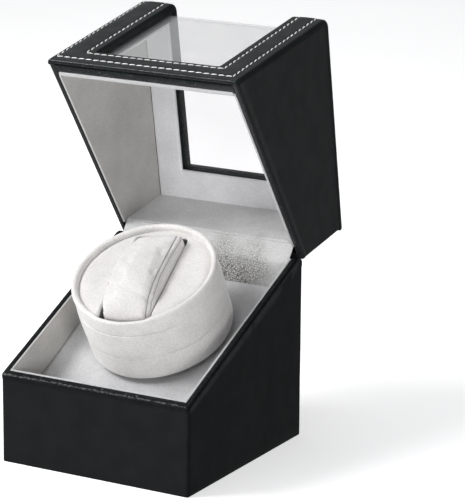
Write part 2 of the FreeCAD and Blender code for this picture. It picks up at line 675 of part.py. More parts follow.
def build_gearbox():
    x0, x1, y0, y1 = GEARBOX
    wall = GEARBOX_WALL
    cover_top = GEARBOX_COVER_Z + GEARBOX_COVER
    holes = gearbox_screws(SNUG)
    bush_hole = rod(0, 0, -FAR, BUSH_R + SNUG, 2 * FAR)
    axle_top = GEARBOX_TOP - 0.5
    idler_seat = rod(IDLER_X, 0, SEAT_Z, AXLE_R + SNUG, axle_top - SEAT_Z)

    housing = box(x0, x1, y0, y1, cover_top, GEARBOX_TOP)
    inside_top = GEARBOX_TOP - wall
    housing = housing.cut(box(x0 + wall, x1 - wall, y0 + wall, y1 - wall, cover_top, inside_top))
    for x, y in GEARBOX_SCREWS:
        housing = housing.fuse(rod(x, y, cover_top, GEARBOX_BOSS_R, inside_top - cover_top))
    cover = box(x0, x1, y0, y1, GEARBOX_COVER_Z, cover_top)
    shaft_seat = rod(0, 0, SEAT_Z - RUNNING, SHAFT_R + RUNNING, GEARBOX_COVER)
    pinion_hole = rod(MOTOR_X, MOTOR_Y, -FAR, PINION_HOLE_R, 2 * FAR)
    cover = cover.cut(shaft_seat).cut(pinion_hole).cut(idler_seat)
    housing = housing.cut(bush_hole).cut(idler_seat)
    for cutter in holes:
        housing = housing.cut(cutter)
        cover = cover.cut(cutter)
    export("gearbox_housing", on_deck(housing.removeSplitter()))
    export("gearbox_cover", on_deck(cover))
    export("gearbox_screws", on_deck(group(gearbox_screws())))

    bush = tube(0, 0, -BUSH_LENGTH, BUSH_R, SHAFT_R + RUNNING, BUSH_LENGTH)
    export("output_bush", on_deck(bush))
    axle_end = 0.1
    axle = rod(IDLER_X, 0, SEAT_Z + axle_end, AXLE_R, axle_top - SEAT_Z - 2 * axle_end)
    export("idler_axle", on_deck(axle))

    thick = GEAR_THICK
    extra = PINION_EXTRA
    bridge = UPPER_GEAR_Z - LOWER_GEAR_Z - thick
    pinion_low = UPPER_GEAR_Z - extra - bridge
    idler_phase = 180.0 / PINION_TEETH
    idler_pinion = gear_blank(PINION_TEETH, thick + 2 * extra + bridge, pinion_low, idler_phase)
    idler_wheel = gear_blank(WHEEL_TEETH, thick, LOWER_GEAR_Z, MOTOR_DIRECTION)
    idler = idler_wheel.fuse(idler_pinion)
    idler = idler.cut(rod(0, 0, -FAR, AXLE_R + RUNNING, 2 * FAR)).removeSplitter()
    idler.translate(FreeCAD.Vector(IDLER_X, 0, 0))
    export("idler_gear", on_deck(idler))

    motor_phase = MOTOR_DIRECTION + 180.0 + 180.0 / PINION_TEETH
    pinion_low = LOWER_GEAR_Z - extra
    shaft_low = GEARBOX_COVER_Z - MOTOR_SHAFT_IN
    shaft_high = pinion_low + 0.5
    pinion = gear_blank(PINION_TEETH, thick + 2 * extra, pinion_low, motor_phase)
    pinion = pinion.fuse(rod(0, 0, shaft_low, MOTOR_SHAFT_R, shaft_high - shaft_low))
    pinion.translate(FreeCAD.Vector(MOTOR_X, MOTOR_Y, 0))
    export("motor_pinion", on_deck(pinion.removeSplitter()))

    motor_low = GEARBOX_COVER_Z - MOTOR_LENGTH
    can = rod(0, 0, motor_low, MOTOR_R, MOTOR_LENGTH).fuse(rod(0, 0, motor_low - 2.0, 4.0, 2.0))
    can = can.cut(rod(0, 0, shaft_low - 0.2, MOTOR_SHAFT_R + RUNNING, FAR))
    for side in (-MOTOR_LUG_X, MOTOR_LUG_X):
        can = can.fuse(box(side - 1.0, side + 1.0, -0.3, 0.3, motor_low - MOTOR_LUG, motor_low))
    can.translate(FreeCAD.Vector(MOTOR_X, MOTOR_Y, 0))
    export("motor_can", on_deck(can.removeSplitter()))


# ---- electrics on the floor and the back panel -----------------------------------------------------
def build_board():
    x0, x1 = BOARD_X
    y0, y1 = BOARD_Y
    top = BOARD_Z + BOARD_THICK
    board = box(x0, x1, y0, y1, BOARD_Z, top)
    for x in (x0 + STANDOFF_INSET, x1 - STANDOFF_INSET):
        for y in (y0 + STANDOFF_INSET, y1 - STANDOFF_INSET):
            board = board.fuse(rod(x, y, WALL, STANDOFF_R, BOARD_Z - WALL))
    export("control_board", board.removeSplitter())
    capacitors = [rod(x0 + 9 + 8 * i, y1 - 9, top, 3.0, 7.0) for i in range(2)]
    chip = box(x0 + 14, x0 + 24, y0 + 9, y0 + 15, top, top + 1.7)
    regulator = box(x1 - 18, x1 - 12, y0 + 5, y0 + 9, top, top + 2.4)
    headers = [box(x1 - 9, x1 - 2, y, y + 6, top, top + HEADER_HEIGHT) for y in (y0 + 8, y1 - 13)]
    export("board_parts", group(capacitors + [chip, regulator] + headers))


def wire(points):
    """Insulated wire along a smooth line through the points."""
    curve = Part.BSplineCurve()
    curve.interpolate([FreeCAD.Vector(*p) for p in points])
    path = Part.Wire(curve.toShape())
    start = FreeCAD.Vector(*points[0])
    section = Part.Wire(Part.makeCircle(WIRE_R, start, curve.tangent(curve.FirstParameter)[0]))
    return path.makePipeShell([section], True, True)


def build_wiring():
    """Two wires from the motor to the board and two from the socket to the board."""
    below_motor = MOTOR_LENGTH + MOTOR_LUG + 1.0 - GEARBOX_COVER_Z
    motor = on_deck(Part.Vertex(MOTOR_X, MOTOR_Y, -below_motor)).Point
    header_x = BOARD_X[1] - 5.5
    top = BOARD_Z + BOARD_THICK + HEADER_HEIGHT + 0.7
    shapes = []
    for side in (-1.0, 1.0):
        x = motor.x + side * MOTOR_LUG_X
        plug_x = header_x + side * 1.2
        plug_y = BOARD_Y[1] - 10
        start = (x, motor.y, motor.z)
        bend = (x - 2, motor.y + 1, motor.z - 8)
        shapes.append(wire([start, bend, (plug_x, plug_y + 6, top + 6), (plug_x, plug_y, top)]))
    for side in (-1.0, 1.0):
        plug_x = header_x + side * 1.2
        plug_y = BOARD_Y[0] + 11
        start = (SOCKET_X + 2.0 * side, BACK - 19.0, CONTROL_Z)
        bend = (SOCKET_X + 4 + side, BACK - 28, CONTROL_Z - 1 + side)
        shapes.append(wire([start, bend, (-30 + side, 25, top + 9), (plug_x, plug_y, top)]))
    export("wiring", group(shapes))


def build_socket():
    start = BACK - WALL
    socket = rod(SOCKET_X, start - 11.0, CONTROL_Z, SOCKET_R, 11.0 + WALL, Y_AXIS)
    socket = socket.fuse(rod(SOCKET_X, BACK, CONTROL_Z, SOCKET_FLANGE_R, 0.8, Y_AXIS))
    socket = socket.fuse(rod(SOCKET_X, start - 2.5, CONTROL_Z, SOCKET_FLANGE_R, 2.5, Y_AXIS))
    socket = socket.cut(rod(SOCKET_X, BACK - PLUG_DEPTH, CONTROL_Z, PLUG_R, FAR, Y_AXIS))
    socket = socket.fuse(rod(SOCKET_X, BACK - PLUG_DEPTH - 0.5, CONTROL_Z, CONTACT_R, 8.0, Y_AXIS))
    export("dc_socket", socket.removeSplitter())


def build_mode_knob():
    start = BACK - WALL
    half = SWITCH_HALF_W
    front = start - 1.0 - SWITCH_DEPTH
    switch = box(-half, half, front, front + SWITCH_DEPTH, CONTROL_Z - half, CONTROL_Z + half)
    switch = switch.fuse(rod(0, start - 1.0, CONTROL_Z, BUSHING_R, WALL + 2.0, Y_AXIS))
    switch = switch.cut(rod(0, start - 7.0, CONTROL_Z, KNOB_SHAFT_R + RUNNING, FAR, Y_AXIS))
    export("mode_switch_body", switch.removeSplitter())

    low = BACK + KNOB_STANDOFF
    high = low + KNOB_HEIGHT
    knob = rod(0, low, CONTROL_Z, KNOB_R, KNOB_HEIGHT, Y_AXIS)
    for i in range(KNOB_FLUTES):
        angle = 2 * math.pi * i / KNOB_FLUTES
        x = (KNOB_R + 0.35) * math.sin(angle)
        z = CONTROL_Z + (KNOB_R + 0.35) * math.cos(angle)
        knob = knob.cut(rod(x, low, z, KNOB_FLUTE_R, KNOB_HEIGHT, Y_AXIS))
    knob = knob.cut(box(-0.5, 0.5, high - 0.6, FAR, CONTROL_Z + 1.0, CONTROL_Z + KNOB_R))
    shaft_low = start - 6.5
    knob = knob.fuse(rod(0, shaft_low, CONTROL_Z, KNOB_SHAFT_R, low + 0.1 - shaft_low, Y_AXIS))
    export("mode_knob", knob.removeSplitter())


def build_rocker():
    start = BACK - WALL
    pivot_y = BACK - ROCKER_PIN_BELOW
    half_x, half_z = ROCKER_HALF_X, ROCKER_HALF_Z
    flange_x, flange_z = half_x + ROCKER_FLANGE, half_z + ROCKER_FLANGE
    well_x, well_z = half_x - ROCKER_WALL, half_z - ROCKER_WALL
    housing = box(-half_x, half_x, start - ROCKER_DEPTH, BACK, -half_z, half_z)
    housing = housing.fuse(box(-flange_x, flange_x, BACK, BACK + 1.0, -flange_z, flange_z))
    housing = housing.cut(box(-well_x, well_x, start - ROCKER_DEPTH + 1.5, FAR, -well_z, well_z))
    bore = half_x - 0.3
    housing = housing.cut(rod(-bore, pivot_y, 0, ROCKER_PIN_R + RUNNING, 2 * bore, X_AXIS))
    for z in TERMINAL_ZS:
        blade = box(-2.4, 2.4, start - ROCKER_DEPTH - 7.0, start - ROCKER_DEPTH, z - 0.4, z + 0.4)
        housing = housing.fuse(blade)
    housing.translate(FreeCAD.Vector(ROCKER_X, 0, CONTROL_Z))
    export("rocker_housing", housing.removeSplitter())

    reach = half_z - 1.9
    lift = reach * math.tan(math.radians(ROCKER_TILT))
    surface = BACK + 0.8
    outline = [
        (pivot_y - 2.6, -1.6),
        (BACK - 1.6, -reach),
        (surface + lift, -reach),
        (surface, 0),
        (surface + lift, reach),
        (BACK - 1.6, reach),
        (pivot_y - 2.6, 1.6),
    ]
    rocker_x = half_x - 1.4
    pin = half_x - 0.4
    rocker = prism(outline, -rocker_x, rocker_x)
    rocker = rocker.fuse(rod(-pin, pivot_y, 0, ROCKER_PIN_R, 2 * pin, X_AXIS)).removeSplitter()
    rocker.rotate(FreeCAD.Vector(0, pivot_y, 0), X_AXIS, ROCKER_TILT)
    rocker.translate(FreeCAD.Vector(ROCKER_X, 0, CONTROL_Z))
    export("power_rocker", rocker)


os.makedirs("parts", exist_ok=True)
build_base()
build_deck()
build_lid()
build_hinges()
build_turntable()
build_gearbox()
build_board()
build_wiring()
build_socket()
build_mode_knob()
build_rocker()
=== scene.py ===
import json
import math
from contextlib import contextmanager

import bmesh
import bpy
import numpy as np
from mathutils import Matrix, Vector, noise
from mathutils.bvhtree import BVHTree


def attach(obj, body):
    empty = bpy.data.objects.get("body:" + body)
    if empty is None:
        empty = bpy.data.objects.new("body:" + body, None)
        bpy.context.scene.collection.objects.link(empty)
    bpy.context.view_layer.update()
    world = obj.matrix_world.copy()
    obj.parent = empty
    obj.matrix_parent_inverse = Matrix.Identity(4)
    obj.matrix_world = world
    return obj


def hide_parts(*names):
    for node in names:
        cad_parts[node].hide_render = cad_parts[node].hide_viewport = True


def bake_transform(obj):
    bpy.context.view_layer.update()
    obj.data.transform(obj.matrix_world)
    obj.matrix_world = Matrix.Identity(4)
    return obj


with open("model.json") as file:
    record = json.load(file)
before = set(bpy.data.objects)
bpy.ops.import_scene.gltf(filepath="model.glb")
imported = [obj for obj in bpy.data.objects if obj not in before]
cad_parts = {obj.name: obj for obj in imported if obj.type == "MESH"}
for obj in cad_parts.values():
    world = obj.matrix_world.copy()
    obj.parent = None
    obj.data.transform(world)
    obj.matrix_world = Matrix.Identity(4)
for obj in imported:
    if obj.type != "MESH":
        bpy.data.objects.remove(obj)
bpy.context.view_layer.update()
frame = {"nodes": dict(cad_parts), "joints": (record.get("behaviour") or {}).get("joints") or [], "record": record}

# Lengths below are millimetres. Pieces of the lid are shaped with the lid closed, then swung open; pieces of
# the turntable are shaped in its own frame, with z up the spin axis and the deck at z = 0.
MM = 0.001
JOINTS = {joint["name"]: joint for joint in frame["joints"]}

HALF_W, FRONT, BACK, TOP = 65.0, -69.0, 69.0, 169.0
FRONT_H = 55.0
RIM_ANGLE = math.radians(24.5)
TAN_RIM = math.tan(RIM_ANGLE)
WALL = 4.0
CORNER_R = 2.05                    # upright corners of the box
SKIN, SKIN_IN = 0.25, 0.78         # how deep the outer and inner face of the leather lie
RIM_H = 3.9                        # height of the rolled edge at the rims
CARD = 1.2
LINING_X = HALF_W - WALL - CARD
LID_GAP = 0.33
BACK_ARC = (63.0, 108.57, 6.0)     # rounded upper back corner of the base: y, z, radius

WINDOW_X = 42.15
SILL_Z, WINDOW_BACK = 75.5, 38.5
BEND_R = 5.0
FRAME_DEPTH = 8.8
LID_DROP = 2.4                     # how far the lid's walls end below its top, under the padded sheet
PAD_DEPTH = 11.4
PANE_IN, PANE_OUT = 5.6, 4.6
LID_BACK_Y = 57.8                  # seen face of the lining on the lid's back wall

HINGE = np.array(JOINTS["lid_hinge"]["pos_m"]) / MM
OPEN_ANGLE = math.radians(abs(JOINTS["lid_hinge"]["range_deg"][0]))
HINGE_XS = (-34.0, 34.0)
HINGE_ROD = (24.8, 2.0, "X")       # room for a hinge's knuckles: length, radius, direction

AXIS_AT = np.array(JOINTS["turntable_spin"]["pos_m"]) / MM
DECK_ANGLE = math.acos(JOINTS["turntable_spin"]["axis"][2])
TAN_DECK = math.tan(DECK_ANGLE)
PILLOW_TURN = math.radians(8.0)

DRUM_TOP = 49.5
FACE_Z = DRUM_TOP - 2.1
FACE_R = 41.2
SLOT_LEFT, SLOT_RIGHT, SLOT_NEAR, SLOT_FAR = -17.2, 16.3, -46.0, 34.9
POCKET_FLOOR = 20.0


# ---- frames ----------------------------------------------------------------------------------------
def clamp(value):
    return min(max(value, 0.0), 1.0)


def turn(points, angle, axis):
    """Rotates points about the x (0) or z (2) axis."""
    c, s = math.cos(angle), math.sin(angle)
    points = np.asarray(points, float)
    a, b = (1, 2) if axis == 0 else (0, 1)
    out = points.copy()
    out[..., a] = c * points[..., a] - s * points[..., b]
    out[..., b] = s * points[..., a] + c * points[..., b]
    return out


def swing(points):
    """From the closed lid to the open lid."""
    centre = np.array([0, HINGE[1], HINGE[2]])
    return turn(np.asarray(points, float) - centre, -OPEN_ANGLE, 0) + centre


def on_deck(points):
    return turn(points, DECK_ANGLE, 0) + np.array([0, AXIS_AT[1], AXIS_AT[2]])


def on_turntable(points):
    return on_deck(turn(points, PILLOW_TURN, 2))


def keep(points):
    return np.asarray(points, float)


def rim_z(y):
    return FRONT_H + (y - FRONT) * TAN_RIM


def base_rim(y):
    """Height of the base's rim, with its rounded back corner."""
    y0, z0, r = BACK_ARC
    if y <= y0 - r * math.sin(RIM_ANGLE):
        return rim_z(y)
    return z0 + math.sqrt(max(r * r - (y - y0) ** 2, 0.0))


def deck_z(y):
    return AXIS_AT[2] + (y - AXIS_AT[1]) * TAN_DECK


def lump(x, y, z):
    """Smooth noise from -1 to 1."""
    return noise.noise(Vector((x, y, z)))


def rough(points, size, seed=0.0):
    """Smooth noise from -1 to 1 at each point, with lumps about size across."""
    return np.array([lump(x / size + seed, y / size - seed, z / size + 2 * seed) for x, y, z in points])


def unit(vectors):
    """Vectors of length 1, along the last axis."""
    return vectors / np.maximum(np.linalg.norm(vectors, axis=-1, keepdims=True), 1e-9)


# ---- meshes ----------------------------------------------------------------------------------------
@contextmanager
def edit_mesh(mesh):
    bm = bmesh.new()
    bm.from_mesh(mesh)
    yield bm
    bm.to_mesh(mesh)
    bm.free()


def tidy_caps(bm):
    """Cuts large caps into triangles and turns all faces outwards."""
    bmesh.ops.triangulate(bm, faces=[f for f in bm.faces if len(f.verts) > 4])
    bmesh.ops.recalc_face_normals(bm, faces=bm.faces)


def add_mesh(name, points, faces, materials, place=keep, sharp=38.0, close=True):
    points = place(np.asarray(points, float).reshape(-1, 3)) * MM
    mesh = bpy.data.meshes.new(name)
    mesh.from_pydata(points.tolist(), [], [tuple(f) for f in faces])
    for material in materials:
        mesh.materials.append(material)
    with edit_mesh(mesh) as bm:
        bmesh.ops.remove_doubles(bm, verts=bm.verts, dist=2e-6)
        if close:
            bmesh.ops.recalc_face_normals(bm, faces=bm.faces)
    mesh.polygons.foreach_set("use_smooth", [True] * len(mesh.polygons))
    mesh.set_sharp_from_angle(angle=math.radians(sharp))
    obj = bpy.data.objects.new(name, mesh)
    bpy.context.scene.collection.objects.link(obj)
    return obj


def quads(rows, columns, wrap_rows=False, wrap_columns=False):
    faces = []
    for i in range(rows if wrap_rows else rows - 1):
        for j in range(columns if wrap_columns else columns - 1):
            a, b = i * columns, (i + 1) % rows * columns
            k = (j + 1) % columns
            faces.append((a + j, a + k, b + k, b + j))
    return faces


def shifted(faces, first):
    return [tuple(first + v for v in face) for face in faces]


def two_sided(rows, columns):
    """Faces of a thin closed sheet: a grid of points, then the same grid behind it."""
    size = rows * columns
    edge = [(0, j) for j in range(columns)] + [(i, columns - 1) for i in range(1, rows)]
    edge += [(rows - 1, j) for j in range(columns - 2, -1, -1)] + [(i, 0) for i in range(rows - 2, 0, -1)]
    ids = [i * columns + j for i, j in edge]
    faces = quads(rows, columns)
    faces += shifted(faces, size)
    faces += [(a, b, size + b, size + a) for a, b in zip(ids, ids[1:] + ids[:1])]
    return faces


def tube(rings, around):
    """Faces of a closed tube of rings, each with around points."""
    ring = range(around)
    return quads(rings, around, False, True) + [tuple(ring)] + shifted([ring], (rings - 1) * around)


def loft(name, rows, material, wrap_rows=False, wrap_columns=True, **extra):
    rows = np.asarray(rows, float)
    faces = quads(rows.shape[0], rows.shape[1], wrap_rows, wrap_columns)
    return add_mesh(name, rows.reshape(-1, 3), faces, [material], **extra)


def piece(obj, body, slot, *nodes):
    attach(obj, body)
    if nodes:
        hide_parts(*nodes)
    return obj


def steps(start, end, spacing, *fine):
    """Lines from start to end, with extra ones close to each place in fine."""
    count = max(2, int(round(abs(end - start) / spacing)) + 1)
    values = list(np.linspace(start, end, count))
    for place, offsets in fine:
        values += [place + o for o in offsets if start - 1e-9 <= place + o <= end + 1e-9]
    values = sorted(values)
    out = [values[0]]
    for value in values[1:]:
        if value - out[-1] > 0.07:
            out.append(value)
    out[-1] = values[-1]
    return np.array(out)


def modify(obj, kind, **values):
    """Gives obj a modifier with these values and applies it."""
    modifier = obj.modifiers.new(kind.lower(), kind)
    for key, value in values.items():
        setattr(modifier, key, value)
    graph = bpy.context.evaluated_depsgraph_get()
    mesh = bpy.data.meshes.new_from_object(obj.evaluated_get(graph))
    obj.modifiers.clear()
    old = obj.data
    obj.data = mesh
    bpy.data.meshes.remove(old)


def carve(obj, cutters):
    """Cuts boxes and rods out of a closed mesh."""
    for kind, centre, size in cutters:
        bm = bmesh.new()
        if kind == "box":
            bmesh.ops.create_cube(bm, size=1.0)
            bmesh.ops.scale(bm, vec=Vector(size) * MM, verts=bm.verts)
        else:
            length, radius, axis = size
            bmesh.ops.create_cone(
                bm, cap_ends=True, segments=40, radius1=radius * MM, radius2=radius * MM, depth=length * MM
            )
            around = Matrix.Rotation(math.pi / 2, 3, "Y" if axis == "X" else "X")
            bmesh.ops.rotate(bm, cent=(0, 0, 0), matrix=around, verts=bm.verts)
        bmesh.ops.translate(bm, vec=Vector(centre) * MM, verts=bm.verts)
        mesh = bpy.data.meshes.new("cutter")
        bm.to_mesh(mesh)
        bm.free()
        cutter = bpy.data.objects.new("cutter", mesh)
        bpy.context.scene.collection.objects.link(cutter)
        modify(obj, "BOOLEAN", object=cutter, operation="DIFFERENCE", solver="EXACT")
        bpy.data.objects.remove(cutter)
    obj.data.set_sharp_from_angle(angle=math.radians(38))


# ---- materials -------------------------------------------------------------------------------------
class Nodes:
    """Adds shader nodes to a tree and joins them."""

    def __init__(self, tree):
        self.tree = tree

    def add(self, kind, **values):
        node = self.tree.nodes.new("ShaderNode" + kind)
        for key, value in values.items():
            if key in node.inputs:
                node.inputs[key].default_value = value
            else:
                setattr(node, key, value)
        return node

    def link(self, a, b):
        self.tree.links.new(a, b)

    def put(self, value, socket):
        """A socket or a plain value into a socket."""
        if isinstance(value, bpy.types.NodeSocket):
            self.link(value, socket)
        else:
            socket.default_value = value

    def span(self, value, low, high, to_low=0.0, to_high=1.0):
        node = self.add("MapRange")
        for name, limit in zip(("From Min", "From Max", "To Min", "To Max"), (low, high, to_low, to_high)):
            node.inputs[name].default_value = limit
        self.link(value, node.inputs["Value"])
        return node.outputs["Result"]

    def math(self, operation, a, b=0.0):
        node = self.add("Math", operation=operation)
        self.put(a, node.inputs[0])
        self.put(b, node.inputs[1])
        return node.outputs["Value"]

    def times(self, a, b):
        return self.math("MULTIPLY", a, b)

    def plus(self, a, b):
        return self.math("ADD", a, b)

    def blend(self, factor, *colours):
        node = self.add("Mix", data_type="RGBA")
        self.link(factor, node.inputs[0])
        for socket, value in zip((node.inputs[6], node.inputs[7]), colours):
            self.put(value + (1.0,) if isinstance(value, tuple) else value, socket)
        return node.outputs[2]

    def join(self, kind, factor, a, b, output):
        """Mixes or adds two shaders into the output."""
        node = self.add(kind)
        sockets = list(node.inputs)
        if factor is not None:
            self.link(factor, sockets.pop(0))
        self.link(a.outputs[0], sockets[0])
        self.link(b.outputs[0], sockets[1])
        self.link(node.outputs[0], output.inputs["Surface"])


class Surface(Nodes):
    """A node material: a Principled shader with patterns in the object's own coordinates (metres)."""

    def __init__(self, name):
        self.material = bpy.data.materials.new(name)
        self.material.use_nodes = True
        super().__init__(self.material.node_tree)
        self.shader = self.tree.nodes["Principled BSDF"]
        self.output = self.tree.nodes["Material Output"]
        self.place = self.add("TexCoord").outputs["Object"]

    def noise(self, size, detail=3.0, stretch=None):
        """Noise with lumps about size millimetres across."""
        node = self.add("TexNoise", Scale=1.0 / (size * MM), Detail=detail)
        place = self.place
        if stretch:
            mapping = self.add("Mapping", Scale=stretch)
            self.link(place, mapping.inputs["Vector"])
            place = mapping.outputs["Vector"]
        self.link(place, node.inputs["Vector"])
        return node.outputs["Fac"]

    def mottle(self, size, detail=3.0, low=0.3, high=0.7, stretch=None):
        """Noise spread out to run from 0 to 1."""
        return self.span(self.noise(size, detail, stretch), low, high)

    def cells(self, size, feature="F1"):
        node = self.add("TexVoronoi", Scale=1.0 / (size * MM), feature=feature)
        self.link(self.place, node.inputs["Vector"])
        return node.outputs["Distance"]

    def from_plane(self, point, normal):
        """Distance in millimetres from a plane."""
        dot = self.add("VectorMath", operation="DOT_PRODUCT")
        self.link(self.place, dot.inputs[0])
        dot.inputs[1].default_value = tuple(float(n) / MM for n in normal)
        return self.math("SUBTRACT", dot.outputs["Value"], float(np.dot(point, normal)))

    def colour(self, value):
        self.link(value, self.shader.inputs["Base Color"])

    def roughness(self, value):
        self.link(value, self.shader.inputs["Roughness"])

    def bump(self, height, depth, strength=1.0):
        """Relief depth millimetres high."""
        node = self.add("Bump", Strength=strength, Distance=depth * MM)
        self.link(height, node.inputs["Height"])
        before = self.shader.inputs["Normal"].links
        if before:
            self.link(before[0].from_socket, node.inputs["Normal"])
        self.link(node.outputs["Normal"], self.shader.inputs["Normal"])

    def set(self, **values):
        for key, value in values.items():
            self.shader.inputs[key.replace("_", " ")].default_value = value


def leatherette(name, dark, light, rough_low, rough_high, creased=None, scuff_and_glint=1.0):
    """Embossed black sheet. creased is a plane (point, normal) along which the sheet is folded and wrinkled,
    and the last argument, from 0 to 1, sets how deep the creases and scuffs of that fold are, how matt it is, and
    how strongly pale flecks are painted along it: partly scuffs, partly painted highlight glints."""
    s = Surface(name)
    hue = s.blend(s.mottle(14.0), dark, light)
    gloss = s.span(s.noise(9.0, 4.0), 0.3, 0.7, rough_low, rough_high)
    s.roughness(gloss)
    s.bump(s.plus(s.times(s.cells(0.9), 0.7), s.times(s.noise(0.5), 0.5)), 0.05, 0.5)
    s.bump(s.noise(26.0, 2.0), 0.6, 0.3)
    if creased:
        off = s.math("ABSOLUTE", s.from_plane(*creased))
        near = s.span(off, 0.6, 3.4, 1.0, 0.0)
        s.bump(s.times(near, s.noise(2.6, 3.0)), 0.35 + 0.55 * scuff_and_glint, 0.8)
        s.roughness(s.times(gloss, s.span(near, 0.0, 1.0, 1.0, 0.6)))
        s.link(s.span(near, 0.0, 1.0, 0.26, 0.36 - 0.23 * scuff_and_glint), s.shader.inputs["Specular IOR Level"])
        # Pale flecks along the fold: partly scuffing, partly painted highlight standing in for glints on the
        # crumpled edge.
        glint_streak = s.mottle(1.3, 4.0, 0.61, 0.66, stretch=(0.42, 1.0, 1.0))
        glint_streak = s.times(glint_streak, s.mottle(9.0, 1.0, 0.45, 0.55))
        on_edge = s.span(off, 0.0011, 0.0016, 1.0, 0.0)
        scuff_and_glint_colour = tuple(scuff_and_glint * c for c in (0.42, 0.43, 0.44))
        hue = s.blend(s.times(glint_streak, on_edge), hue, scuff_and_glint_colour)
    else:
        s.set(Specular_IOR_Level=0.26)
    s.colour(hue)
    return s.material


def velvet(name, dark, light, crushed=None):
    """Short pile. crushed is the colour of the cracks in the flattened patch right of the drum."""
    s = Surface(name)
    patches, specks = s.mottle(17.0, 3.0, 0.32, 0.68), s.mottle(1.3, 2.0, 0.36, 0.64)
    base = s.blend(s.plus(s.times(patches, 0.55), s.times(specks, 0.45)), dark, light)
    s.set(Roughness=0.95, Specular_IOR_Level=0.1, Sheen_Weight=0.25, Sheen_Roughness=0.5)
    s.bump(s.plus(s.noise(0.7, 2.0), s.times(s.noise(1.9, 2.0), 0.8)), 0.22, 0.6)
    if crushed:
        place = s.add("SeparateXYZ")
        s.link(s.place, place.inputs[0])
        wobble = s.times(s.span(s.noise(20.0), 0.2, 0.8, -1.0, 1.0), 0.010)
        x = s.plus(place.outputs["X"], wobble)
        left, right = s.span(x, -0.010, 0.006), s.span(x, 0.030, 0.052, 1.0, 0.12)
        upper = s.span(s.plus(place.outputs["Z"], wobble), 0.104, 0.122, 1.0, 0.0)
        patch = s.times(s.times(left, right), upper)
        cells = s.span(s.cells(1.35, "DISTANCE_TO_EDGE"), 0.03, 0.24)
        base = s.blend(s.times(patch, 0.6), base, (0.80, 0.80, 0.79))
        base = s.blend(s.times(s.math("SUBTRACT", 1.0, cells), patch), base, crushed)
        s.bump(s.times(cells, patch), 0.35, 0.8)
    s.colour(base)
    return s.material


def suede(name, dark, light):
    s = Surface(name)
    nap, fibre = s.mottle(11.0, 3.0, 0.32, 0.68), s.mottle(1.15, 2.5, 0.36, 0.64)
    s.colour(s.blend(s.plus(s.times(nap, 0.45), s.times(fibre, 0.55)), dark, light))
    s.set(Roughness=0.92, Specular_IOR_Level=0.12, Sheen_Weight=0.7, Sheen_Roughness=0.4)
    s.bump(s.plus(s.noise(0.75, 3.0), s.times(s.cells(1.4), 0.45)), 0.20, 0.6)
    return s.material


def thread(name, dark, light):
    s = Surface(name)
    s.colour(s.blend(s.mottle(0.5, 2.0), dark, light))
    s.set(Roughness=0.7, Sheen_Weight=0.2)
    s.bump(s.noise(0.3, 2.0), 0.08, 0.6)
    return s.material


def acrylic(name):
    """Thin clear sheet: see-through, greener and more mirror-like at a grazing angle."""
    s = Surface(name)
    clear = s.add("BsdfTransparent")
    smear = s.mottle(24.0, 2.0)
    s.link(s.blend(smear, (0.930, 0.925, 0.928), (0.950, 0.944, 0.947)), clear.inputs["Color"])
    s.colour(s.blend(smear, (0.84, 0.88, 0.87), (0.91, 0.94, 0.935)))
    s.set(Roughness=0.12, Specular_IOR_Level=0.5)
    edge = s.math("POWER", s.add("LayerWeight", Blend=0.38).outputs["Facing"], 2.6)
    s.join("MixShader", s.plus(s.times(edge, 0.8), 0.02), clear, s.shader, s.output)
    return s.material


def fibreboard(name, dark, light):
    s = Surface(name)
    s.colour(s.blend(s.mottle(1.1, 4.0, stretch=(1.0, 1.0, 3.0)), dark, light))
    s.set(Roughness=0.85)
    s.bump(s.noise(0.6, 3.0), 0.06, 0.4)
    return s.material


def moulded(name, dark, light, gloss=0.45):
    s = Surface(name)
    s.colour(s.blend(s.mottle(6.0, 2.0), dark, light))
    s.roughness(s.span(s.noise(2.0, 3.0), 0.3, 0.7, gloss - 0.06, gloss + 0.08))
    s.bump(s.noise(0.35, 2.0), 0.02, 0.35)
    return s.material


def metal(name, dark, light, gloss=0.3):
    s = Surface(name)
    s.colour(s.blend(s.mottle(3.0, 4.0, stretch=(6.0, 1.0, 1.0)), dark, light))
    s.roughness(s.span(s.noise(1.2, 3.0), 0.3, 0.7, gloss - 0.06, gloss + 0.10))
    s.set(Metallic=1.0)
    s.bump(s.noise(0.4, 2.0, stretch=(8.0, 1.0, 1.0)), 0.01, 0.3)
    return s.material


RIM_NORMAL = np.array([0.0, -math.sin(RIM_ANGLE), math.cos(RIM_ANGLE)])
RIM_AT = np.array([0.0, FRONT, FRONT_H])
LID_RIM_AT = swing(RIM_AT + np.array([0.0, 0.0, LID_GAP]))
LID_RIM_NORMAL = turn(RIM_NORMAL, -OPEN_ANGLE, 0)
# The base, lid and window frame use copies of one black leatherette that differ only to stand in for light: the
# base's is darkest, painted shade; the lid's is lighter, painted light; the frame's is lighter and blue-green, a
# painted reflection.
LEATHER = leatherette(
    "leatherette_black", (0.0038, 0.0044, 0.0050), (0.0064, 0.0072, 0.0082), 0.32, 0.44, (RIM_AT, RIM_NORMAL)
)
LID_LEATHER_LIT = leatherette(
    "leatherette_lid_lit", (0.0155, 0.0161, 0.0170), (0.0215, 0.0222, 0.0232), 0.34, 0.46,
    (LID_RIM_AT, LID_RIM_NORMAL), 0.16,
)
FRAME_LEATHER_LIT = leatherette(
    "leatherette_frame_lit", (0.0055, 0.0085, 0.0090), (0.0090, 0.0125, 0.0130), 0.36, 0.50,
    (LID_RIM_AT, LID_RIM_NORMAL), 0.16,
)
